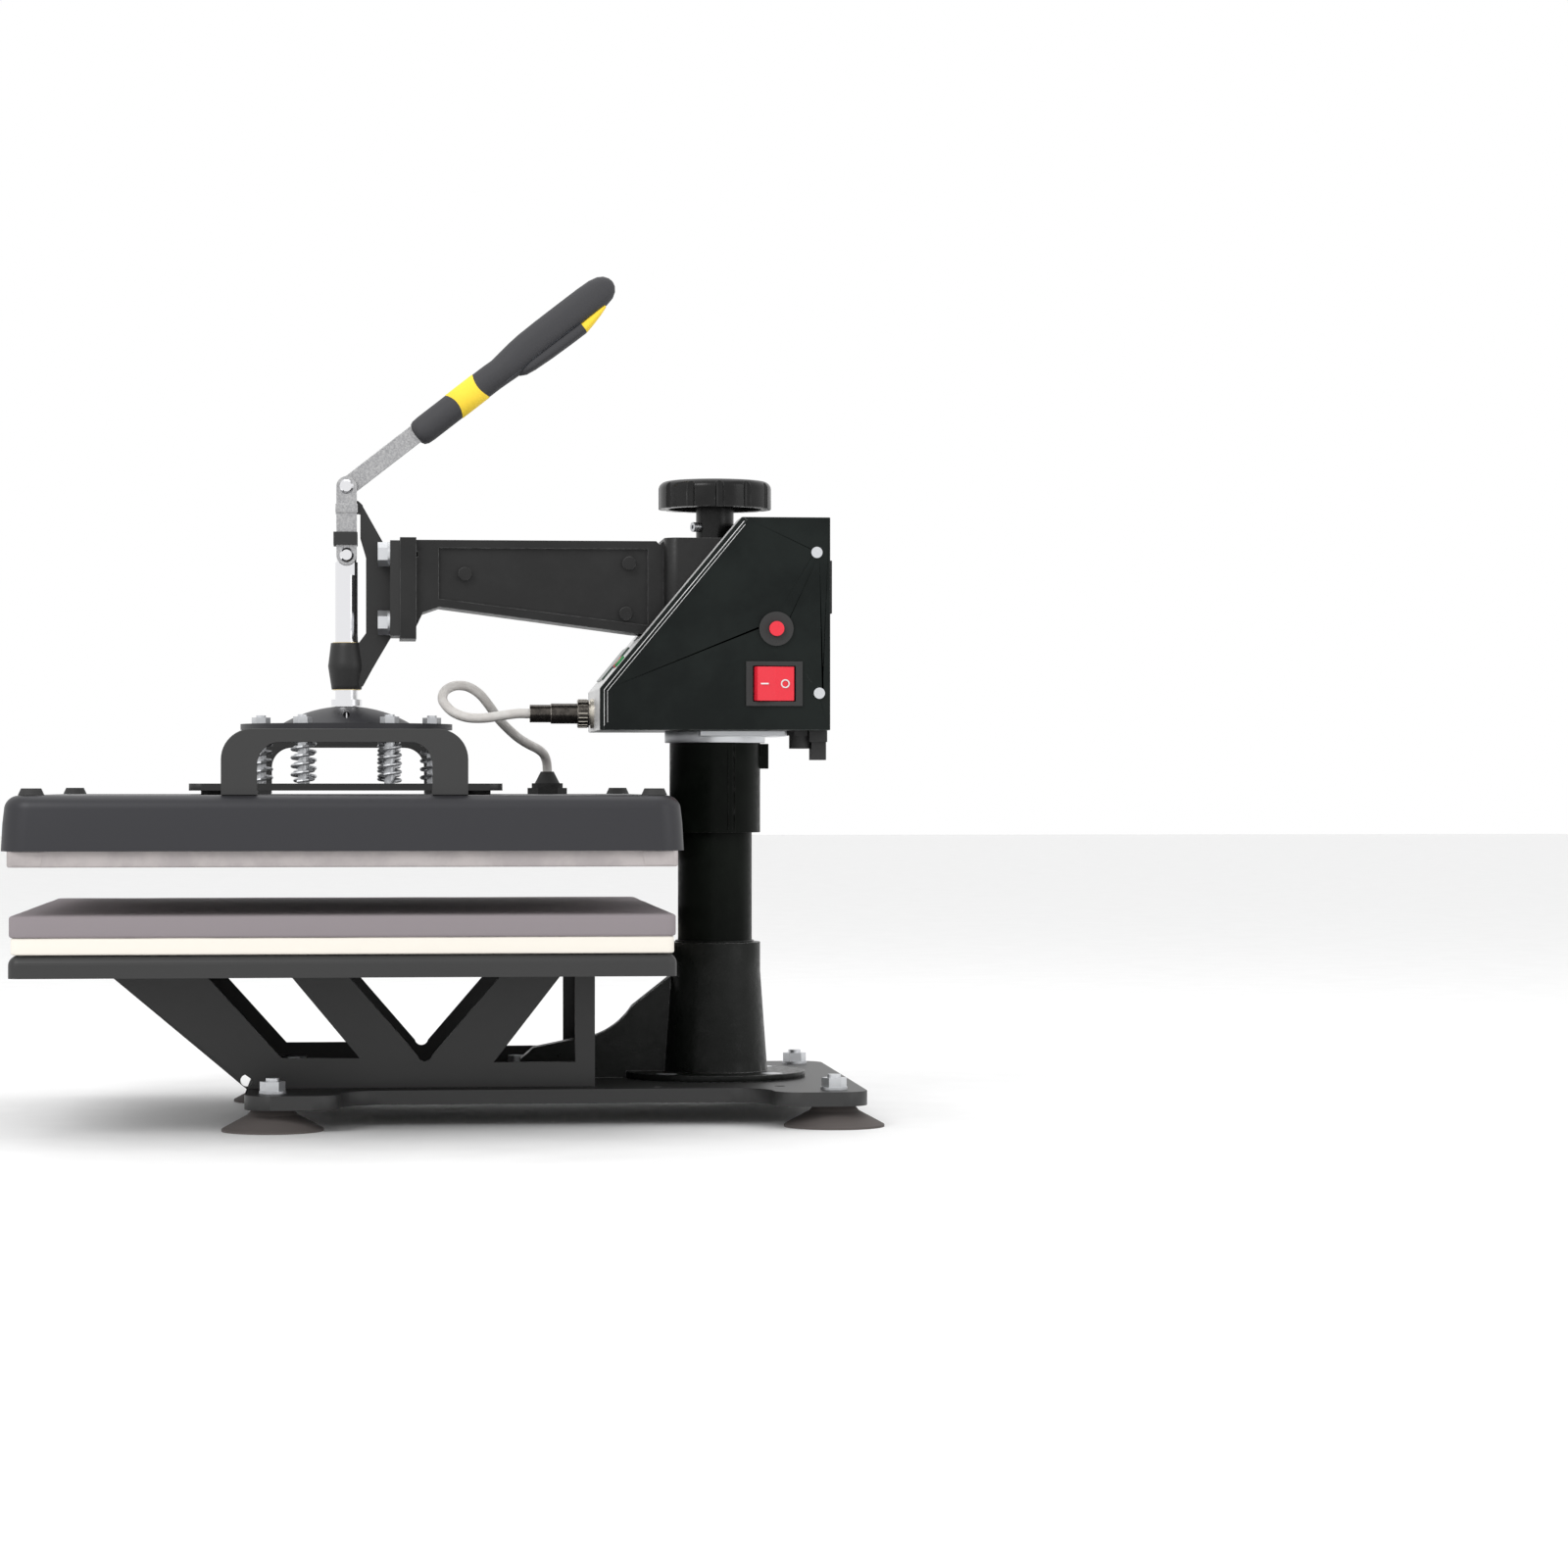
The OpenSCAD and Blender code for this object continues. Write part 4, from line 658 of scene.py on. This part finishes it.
@dataclass
class Studio:
    """Camera, lights and a plain pale floor."""

    distance: float = 2.578
    height: float = 0.204
    offset: float = -0.2145
    yaw: float = 5.71
    lens: float = 95.38

    def camera(self) -> None:
        """Sets up a level camera on the right-hand side of the press, just above the heater cover."""
        data = bpy.data.cameras.new("camera")
        data.lens = self.lens
        data.sensor_width = 36.0
        data.clip_end = 50.0
        obj = bpy.data.objects.new("camera", data)
        obj.location = (COLUMN_AXIS.x + self.offset, -self.distance, self.height)
        obj.rotation_euler = (math.radians(90), 0, -math.radians(self.yaw))
        bpy.context.scene.collection.objects.link(obj)
        bpy.context.scene.camera = obj

    def _lamp(self, name: str, place: Vector, aim: Vector, size: tuple[float, float], power: float) -> None:
        """Adds a soft rectangular lamp.

        Args:
            name: Lamp name.
            place: Where it stands.
            aim: What it points at.
            size: Width and height.
            power: Watts.
        """
        data = bpy.data.lights.new(name, "AREA")
        data.shape = "RECTANGLE"
        data.size, data.size_y = size
        data.energy = power
        obj = bpy.data.objects.new(name, data)
        obj.location = place
        obj.rotation_euler = (aim - place).to_track_quat("-Z", "Y").to_euler()
        bpy.context.scene.collection.objects.link(obj)

    def light(self) -> None:
        """Adds the world, three soft lamps and the floor."""
        world = bpy.data.worlds.new("studio")
        world.use_nodes = True
        world.node_tree.nodes["Background"].inputs["Color"].default_value = (1.0, 1.0, 1.0, 1.0)
        world.node_tree.nodes["Background"].inputs["Strength"].default_value = 1.0
        bpy.context.scene.world = world
        aim = Vector((0.0, 0.0, 0.22))
        self._lamp("key", Vector((-1.1, -1.7, 1.7)), aim, (1.0, 1.0), 20.0)
        self._lamp("fill", Vector((1.6, -1.2, 0.9)), aim, (0.8, 1.2), 4.0)
        self._lamp("top", Vector((0.0, 0.5, 2.0)), aim, (1.6, 1.6), 8.0)
        rings = [Kit.square_ring((14.0, 14.0), 0.5, z, Vector((0, 0, 0))) for z in (-0.02, 0.0)]
        floor = Kit.loft("floor", rings)
        Kit.dress(floor, FLOOR)
        bpy.context.scene.view_settings.view_transform = "Standard"


# ------------------------------------------------------------------ heater cord


@dataclass
class HeaterCord:
    """The light cord from the plug to the gland on the heater."""

    diameter: float = 6 * MM
    lead: float = 1.5 * MM
    route: tuple[tuple[float, float, float], ...] = (
        (-8, 0, 0), (-18, 0, -1.4), (-28, 0, -2.8), (-38, 0, -2.6), (-46, 2, 0), (-51.5, 5, 4.5),
        (-54, 8.5, 9.5), (-52, 12, 14.5), (-46, 15.5, 17.5), (-38, 19, 17), (-30.5, 22.5, 12.5),
        (-24.5, 27, 5.5),
        (-19, 33, -2), (-12.5, 43, -8.5), (-5.5, 55, -14.2), (1.5, 67, -18.3), (8, 78, -21.3),
    )

    landing: tuple[tuple[float, float, float], ...] = (
        (-3.34, -5.94, 12.01), (-1.58, -2.81, 9.49), (-0.41, -0.73, 5.81),
    )

    def make(self) -> None:
        """Makes the cord as one swept tube that bends between the head and the heater."""
        plug_low, plug_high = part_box("heater_plug")
        start = Vector((plug_low.x, (plug_low.y + plug_high.y) / 2, (plug_low.z + plug_high.z) / 2))
        gland = middle("cable_gland")
        end = Vector((gland.x, gland.y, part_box("cable_gland")[1].z))
        lead = self.lead
        points = [start - Vector((lead, 0, 0)), *(start + mm(*p) for p in self.route),
                  *(end + mm(*p) for p in self.landing), end + Vector((0, 0, lead))]
        path = [start, *Kit.smooth_path(points, 6), end]
        tube = Kit.sweep("heater_cord_tube", path, self.diameter / 2, 16)
        Kit.dress(tube, CORD)
        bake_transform(tube)
        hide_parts("heater_cord")


# ------------------------------------------------------------------ CAD nodes


@dataclass
class FrameDressing:
    """Finishes for the CAD nodes, and small rounds on their edges."""

    finishes: dict[str, Finish] = field(default_factory=lambda: {
        "base_plate": POWDER, "suction_cups": CUPS, "base_fasteners": ZINC, "column_socket": SOCKET,
        "inner_column": COLUMN, "lift_nut": BRASS, "platen_support": POWDER, "lower_platen": POWDER,
        "felt_pad": FELT, "silicone_pad": FOAM, "thrust_collar": LINK_STEEL, "hand_wheel": WHEEL,
        "lift_screw": LINK_STEEL, "wheel_set_screw": ZINC, "swing_sleeve": COLUMN, "press_arm": ARM_PAINT,
        "bracket_bolts": ZINC, "lever_bracket": CASTING, "guide_bush": BRASS, "pivot_pin": LINK_STEEL,
        "box_bracket": ZINC, "control_box": BOX_PAINT, "left_side_cover": BOX_PAINT,
        "right_side_cover": BOX_PAINT, "box_screws": ZINC, "control_panel": SILVER,
        "controller_board": BOARD, "display": SCREEN, "power_relay": PLASTIC, "mains_gland": PLASTIC,
        "switch_bezel": PLASTIC, "switch_rocker": RED, "reset_ring": PLASTIC, "reset_button": RED,
        "set_button": GREY_KEY, "up_button": RED, "down_button": GREEN_KEY, "heater_socket": NICKEL,
        "heater_plug": PLUG, "lever_bar": LINK_STEEL, "lever_grip": GRIP, "grip_band": YELLOW,
        "grip_tail": YELLOW, "toggle_links": LINK_STEEL, "link_clip": PLASTIC, "link_pins": CHROME,
        "heater_cover": ENAMEL, "cover_caps": PLASTIC, "heating_platen": PTFE,
        "heating_element": LINK_STEEL, "insulation_board": FIBRE, "spring_plate": POWDER, "springs": ZINC,
        "spring_studs": ZINC, "handle_screws": ZINC, "side_handles": POWDER, "cable_gland": PLASTIC,
        "press_dome": ENAMEL, "press_shaft": CHROME, "heater_cord": CORD,
    })
    rounds: dict[str, float] = field(default_factory=lambda: {
        "base_plate": 0.8, "column_socket": 0.8, "platen_support": 0.5, "press_arm": 0.9,
        "lever_bracket": 0.9, "control_box": 0.5, "left_side_cover": 0.5, "right_side_cover": 0.5,
        "control_panel": 0.3, "side_handles": 0.6, "spring_plate": 0.5, "lever_bar": 0.4,
        "toggle_links": 0.4, "box_bracket": 0.4, "switch_bezel": 0.4, "switch_rocker": 0.4,
        "power_relay": 0.5, "link_clip": 0.5, "swing_sleeve": 0.5, "lower_platen": 0.5,
    })

    def make(self) -> None:
        """Dresses each node and rounds the edges of those with plain flat faces."""
        for name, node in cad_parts.items():
            Kit.dress(node, self.finishes[name])
            if name in self.rounds:
                self._round(node, self.rounds[name] * MM)

    @staticmethod
    def _round(node: bpy.types.Object, width: float) -> None:
        """Welds a node's faces together and bevels its sharp edges.

        Args:
            node: The node's mesh object.
            width: Width of the bevel.
        """
        weld = node.modifiers.new("weld", "WELD")
        weld.merge_threshold = WELD_GAP
        bevel = node.modifiers.new("round", "BEVEL")
        bevel.width = width
        bevel.segments = 2
        bevel.limit_method = "ANGLE"
        bevel.angle_limit = ROUND_ANGLE
        bevel.harden_normals = True


# ------------------------------------------------------------------ pads and platens


def ripple(ring: Ring, amount: float, scale: float, seed: float) -> Ring:
    """Lifts each point of a ring by smooth noise, so that a soft edge is not dead straight.

    Args:
        ring: The ring.
        amount: Greatest lift.
        scale: How quickly the noise changes with distance.
        seed: Seed of the noise.

    Returns:
        The lifted ring.
    """
    return [p + Vector((0, 0, amount * noise.noise(Vector((p.x * scale, p.y * scale, seed))))) for p in ring]


def slab(name: str, node: str, radius: float, edge: float, wave: float, seed: float) -> bpy.types.Object:
    """Makes a soft sheet in the place of a CAD node.

    Args:
        name: Object name.
        node: CAD node that gives the size.
        radius: Corner radius in plan.
        edge: Round of its upper and lower edges.
        wave: Height of the ripples of its edges.
        seed: Seed of the ripples.

    Returns:
        The sheet.
    """
    low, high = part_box(node)
    centre, half = (low + high) / 2, (high - low) / 2
    inward = [0.9, 0.5, 0.15]
    rings: list[Ring] = []
    for k in inward[::-1]:
        rings.append(Kit.square_ring((half.x * k, half.y * k), radius * k, low.z, centre, 6, 30))
    for k in range(5):
        a = math.pi / 2 * k / 4
        inset = edge * (1 - math.sin(a))
        z = low.z + edge * (1 - math.cos(a))
        ring = Kit.square_ring((half.x - inset, half.y - inset), radius, z, centre, 6, 30)
        rings.append(ripple(ring, wave * 0.3, 22.0, seed) if k else ring)
    for k in range(5):
        a = math.pi / 2 * k / 4
        inset = edge * (1 - math.cos(a))
        z = high.z - edge * (1 - math.sin(a))
        ring = Kit.square_ring((half.x - inset, half.y - inset), radius, z, centre, 6, 30)
        rings.append(ripple(ring, -wave * abs(math.sin(seed)), 22.0, seed + 3.0))
    for k in inward:
        rings.append(Kit.square_ring((half.x * k, half.y * k), radius * k, high.z, centre, 6, 30))
    return Kit.loft(name, rings, 50.0)


@dataclass
class Pads:
    """The felt pad and the foam rubber pad on the lower platen."""

    def make(self) -> None:
        """Makes both pads."""
        felt = slab("felt_sheet", "felt_pad", 4 * MM, 1.2 * MM, 0.5 * MM, 4.0)
        Kit.place(felt, "base", "felt", FELT, "felt_pad")
        foam = slab("foam_sheet", "silicone_pad", 5 * MM, 1.6 * MM, 0.35 * MM, 9.0)
        Kit.place(foam, "base", "silicone", FOAM, "silicone_pad")


@dataclass
class HeaterShell:
    """The pressed cover of the heater and the wrapped heating platen under it."""

    taper: float = 1.6 * MM
    wall: float = 1.5 * MM
    round: float = 8.5 * MM
    corner: float = 16 * MM

    def make(self) -> None:
        """Makes the cover shell and the wrapped platen with its fold lines."""
        low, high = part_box("heater_cover")
        centre, half = (low + high) / 2, (high - low) / 2

        def ring(inset: float, z: float, radius: float) -> Ring:
            """Draws the outline of the cover.

            Args:
                inset: How far it is drawn in.
                z: Height.
                radius: Corner radius.

            Returns:
                The ring.
            """
            return Kit.square_ring((half.x - inset, half.y - inset), radius, z, centre, 10, 14)

        inner = self.wall
        rings = [ring(60 * MM, high.z - inner, 4 * MM),
                 ring(self.round, high.z - inner, self.corner - self.round),
                 ring(self.taper + inner, high.z - self.round, self.corner - inner),
                 ring(inner, low.z, self.corner - inner),
                 ring(0, low.z, self.corner), ring(0, low.z + 0.6 * MM, self.corner),
                 ring(self.taper * 0.5, (low.z + high.z) / 2, self.corner)]
        for k in range(9):
            a = math.pi / 2 * k / 8
            roll = self.round * (1 - math.cos(a))
            rings.append(ring(self.taper + roll, high.z - self.round * (1 - math.sin(a)), self.corner - roll))
        rings += [ring(self.taper + self.round + 3 * MM, high.z, 5 * MM), ring(70 * MM, high.z, 3 * MM)]
        cover = Kit.loft("cover_shell", rings, 50.0)
        Kit.place(cover, "heater", "cover_black", ENAMEL, "heater_cover")
        plate = slab("wrapped_platen", "heating_platen", 3 * MM, 1.2 * MM, 0.25 * MM, 2.0)
        Kit.place(plate, "heater", "aluminium", PTFE, "heating_platen")
        self._folds()

    @staticmethod
    def _folds() -> None:
        """Adds the folded flaps of the wrap at its corners."""
        low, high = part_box("heating_platen")
        for side_y, out in ((low.y, -1), (high.y, 1)):
            for end_x, inward in ((low.x, 1), (high.x, -1)):
                points = [(3, 1.2), (19, 0.9), (21, 8.6), (3, 8.8)]
                rings = [[Vector((end_x + inward * u * MM, side_y + out * t * MM, low.z + v * MM))
                          for u, v in points] for t in (-0.3, 0.35)]
                spot = f"{'near' if out < 0 else 'far'}_{'front' if inward > 0 else 'rear'}"
                flap = Kit.loft(f"wrap_fold_{spot}", rings, 20.0)
                Kit.place(flap, "heater", "aluminium", PTFE)


# ------------------------------------------------------------------ lever


@dataclass
class Lever:
    """The moulded grip with its yellow inlays, in the lever's own directions."""

    tilt: float = 38.1
    pin: tuple[float, float] = (-62.35, 387.1)
    centre: float = -1.2

    def _ring(self, u: float, low: float, high: float, half: float, power: float, skew: float = 0.0) -> Ring:
        """Returns a super-ellipse round the grip.

        Args:
            u: Distance along the lever in millimetres.
            low: Lowest point across the lever.
            high: Highest point across the lever.
            half: Half width to the sides.
            power: 2 for an ellipse, more for a squarer shape.
            skew: How far the upper and lower ends run ahead of the middle.

        Returns:
            The ring's points in metres.
        """
        a = math.radians(self.tilt)
        ring: Ring = []
        for k in range(40):
            t = 2 * math.pi * k / 40
            c, s = math.cos(t), math.sin(t)
            y = half * math.copysign(abs(c) ** (2 / power), c)
            v = (low + high) / 2 + (high - low) / 2 * math.copysign(abs(s) ** (2 / power), s)
            w = u + skew * math.cos(2 * t)
            ring.append(mm(self.pin[0] + w * math.cos(a) - v * math.sin(a), y,
                           self.pin[1] + w * math.sin(a) + v * math.cos(a)))
        return ring

    def make(self) -> None:
        """Makes the grip, the yellow band, the yellow tail and a grey strip painted as the highlight along
        the seam.
        """
        tube = [(53, 2.4), (53.4, 5.2), (54.6, 7.3), (57, 8.4), (61, 8.7), (84, 8.7), (103, 8.7), (112, 8.7)]
        rings = [self._ring(u, self.centre - r, self.centre + r, r, 2.0) for u, r in tube]
        wide = [(119, -10.2, 7.2, 8.8, 2.05), (126, -10.6, 8.1, 9.0, 2.15), (134, -10.3, 9.1, 9.2, 2.3),
                (142, -9.9, 9.7, 9.4, 2.45), (155, -9.7, 9.9, 9.5, 2.5), (172, -9.7, 9.9, 9.5, 2.5),
                (188, -9.7, 9.8, 9.5, 2.45), (197, -9.4, 9.4, 9.2, 2.35), (202.5, -8.2, 8.2, 8.3, 2.2),
                (206, -6.0, 6.1, 6.4, 2.1), (208, -3.3, 3.4, 3.8, 2.0), (208.7, -1, 1, 1, 2.0)]
        rings += [self._ring(*w) for w in wide]
        Kit.place(Kit.loft("grip_body", rings, 60.0), "lever", "grip_black", GRIP, "lever_grip")
        keel = [(127, -11.0, -9.0, 1.5), (131, -13.0, -7.5, 5.5), (137, -13.9, -7, 7.0),
                (150, -14.7, -7, 7.4), (165, -15.1, -7, 7.4), (176.4, -15.2, -7, 7.2)]
        self._part("grip_keel", [self._ring(u, lo, hi, h, 2.6) for u, lo, hi, h in keel], "grip_black", GRIP)
        band = [(84, 8.5), (84.5, 8.95), (93, 9.0), (102.5, 8.95), (103, 8.5)]
        rings = [self._ring(u, self.centre - r, self.centre + r, r, 2.0,
                            1.3 if u < 93 else -1.3 if u > 93 else 0) for u, r in band]
        self._part("grip_band_ring", rings, "grip_yellow", YELLOW, "grip_band")
        tail = [(173.5, -15.0, -8, 6.6), (177.2, -15.1, -8, 6.9), (184, -13.6, -8, 6.6),
                (191, -11.7, -8, 5.8), (195.5, -10.2, -8, 4.4)]
        rings = [self._ring(u, lo, hi, h, 2.6) for u, lo, hi, h in tail]
        self._part("grip_tail_inlay", rings, "grip_yellow", YELLOW, "grip_tail")
        # Grey strip along the parting line: a painted highlight of the seam between the grip's two halves.
        seam = [self._ring(u, v - 0.35, v + 0.25, h, 2.0) for u, v, h in
                ((118, -8.6, 5.6), (131, -8.6, 6.4), (147, -7.6, 7.2), (173, -8.0, 7.3), (196, -8.2, 5.0))]
        self._part("grip_seam_highlight", seam, "grip_black", GREY_KEY)

    @staticmethod
    def _part(name: str, rings: list[Ring], slot: str, finish: Finish, *stands_for: str) -> None:
        """Lofts one part of the grip and rides it on the lever.

        Args:
            name: Object name.
            rings: Its rings.
            slot: Name of a material slot, passed on to Kit.place.
            finish: Its surface.
            stands_for: CAD nodes that it replaces.
        """
        Kit.place(Kit.loft(name, rings, 45.0), "lever", slot, finish, *stands_for)


# ------------------------------------------------------------------ small details


@dataclass
class BaseDetails:
    """The bead on the rim of the column socket and the seam of the sleeve."""

    def make(self) -> None:
        """Makes the bead round the column and the seam down the sleeve."""
        rim_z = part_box("column_socket")[1].z + 0.3 * MM
        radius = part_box("inner_column")[1].x - COLUMN_AXIS.x + 0.6 * MM
        swell = 0.25 * MM
        path = [Vector((COLUMN_AXIS.x + (radius + swell * math.sin(9 * a)) * math.cos(a),
                        COLUMN_AXIS.y + (radius + swell * math.sin(7 * a)) * math.sin(a), rim_z))
                for a in (2 * math.pi * k / 96 for k in range(97))]
        Kit.place(Kit.sweep("socket_rim_bead", path, 0.9 * MM, 10), "base", "cast_black", SOCKET)
        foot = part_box("swing_sleeve")[0].z
        x, r = COLUMN_AXIS.x + 6 * MM, 28.2 * MM
        seam = [Vector((x, COLUMN_AXIS.y - math.sqrt(r * r - (6 * MM) ** 2), z))
                for z in (foot + 1 * MM, foot + 28 * MM, foot + 55 * MM)]
        Kit.place(Kit.sweep("sleeve_seam", seam, 0.45 * MM, 8), "head", "powder_black", COLUMN)


@dataclass
class SwitchMarks:
    """The plain bar and ring moulded in the rocker."""

    def make(self) -> None:
        """Makes the bar and the ring on the face of the rocker."""
        low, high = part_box("switch_rocker")
        z = (low.z + high.z) / 2
        face = low.y
        width = high.x - low.x
        left = low.x + width * 0.26
        bar = Kit.block("mark_bar", Vector((left - 2.4 * MM, face + 0.25 * MM, z - 0.45 * MM)),
                        Vector((left + 2.4 * MM, face + 1.2 * MM, z + 0.45 * MM)), 0.15 * MM)
        Kit.place(bar, "rocker", "switch_red", WHITE_MARK)
        middle_x = low.x + width * 0.76
        turn = [2 * math.pi * k / 40 for k in range(41)]
        ring = [Vector((middle_x + 2.3 * MM * math.cos(a), face + 2.6 * MM, z + 2.3 * MM * math.sin(a)))
                for a in turn]
        Kit.place(Kit.sweep("mark_ring", ring, 0.45 * MM, 8), "rocker", "switch_red", WHITE_MARK)


@dataclass
class HeadDetails:
    """Ejector marks on the arm, two light lines painted as highlights along the edge of the side cover, and
    the knurl of the plug's nut.
    """

    marks: tuple[tuple[float, float], ...] = ((10.0, 333.0), (111.0, 340.0), (109.0, 309.0))

    def make(self) -> None:
        """Makes the details that ride on the head."""
        for k, (x, z) in enumerate(self.marks):
            profile = [(0, 0), (3.9 * MM, 0), (4.25 * MM, 0.3 * MM), (4.25 * MM, 1.0 * MM), (0, 1.0 * MM)]
            disc = Kit.lathe(f"ejector_mark_{k + 1}", profile, mm(x, -21.6, z), 32, Vector((0, 1, 0)))
            Kit.place(disc, "head", "powder_black", ARM_PAINT)
        self._painted_edge_highlights()
        self._knurl()

    @staticmethod
    def _painted_edge_highlights() -> None:
        """Adds two thin light-grey lines along the slope and front of the near cover: painted highlights
        where light catches its folded edge.
        """
        low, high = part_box("right_side_cover")
        face = low.y - 0.05 * MM
        for inset, radius in ((2.6, 0.22), (4.6, 0.16)):
            top = Vector((177.2 * MM + inset * MM * 0.3, face, high.z - inset * MM))
            knee = Vector((low.x + inset * MM, face, 262 * MM - inset * MM * 0.35))
            foot = Vector((low.x + inset * MM, face, low.z + inset * MM))
            path = [foot, foot.lerp(knee, 0.5), knee, knee.lerp(top, 0.5), top]
            # Light-grey tube on the black cover: a painted highlight of the folded edge, not a separate part.
            line = Kit.sweep(f"cover_edge_highlight_{round(inset)}", path, radius * MM, 8)
            Kit.place(line, "head", "powder_black", SILVER)

    @staticmethod
    def _knurl() -> None:
        """Adds ridges round the coupling nut of the plug."""
        nut_low, nut_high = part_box("heater_plug")
        centre = Vector((0, (nut_low.y + nut_high.y) / 2, (nut_low.z + nut_high.z) / 2))
        radius = (nut_high.z - nut_low.z) / 2
        for k in range(20):
            a = 2 * math.pi * k / 20
            out = Vector((0, math.cos(a), math.sin(a))) * (radius - 0.1 * MM)
            start = centre + out + Vector((nut_high.x - 6.6 * MM, 0, 0))
            ridge = [start, start + Vector((2.8 * MM, 0, 0)), start + Vector((5.6 * MM, 0, 0))]
            Kit.place(Kit.sweep(f"nut_ridge_{k + 1}", ridge, 0.35 * MM, 6), "head", "nickel", NICKEL)


def main() -> None:
    """Builds every sub-assembly in order."""
    logging.basicConfig(level=logging.INFO, format="%(message)s")
    studio = Studio()
    studio.camera()
    HeaterCord().make()
    studio.light()
    for part in (FrameDressing(), Pads(), HeaterShell(), Lever(), BaseDetails(), SwitchMarks(),
                 HeadDetails()):
        part.make()


if __name__ == "__main__":
    main()
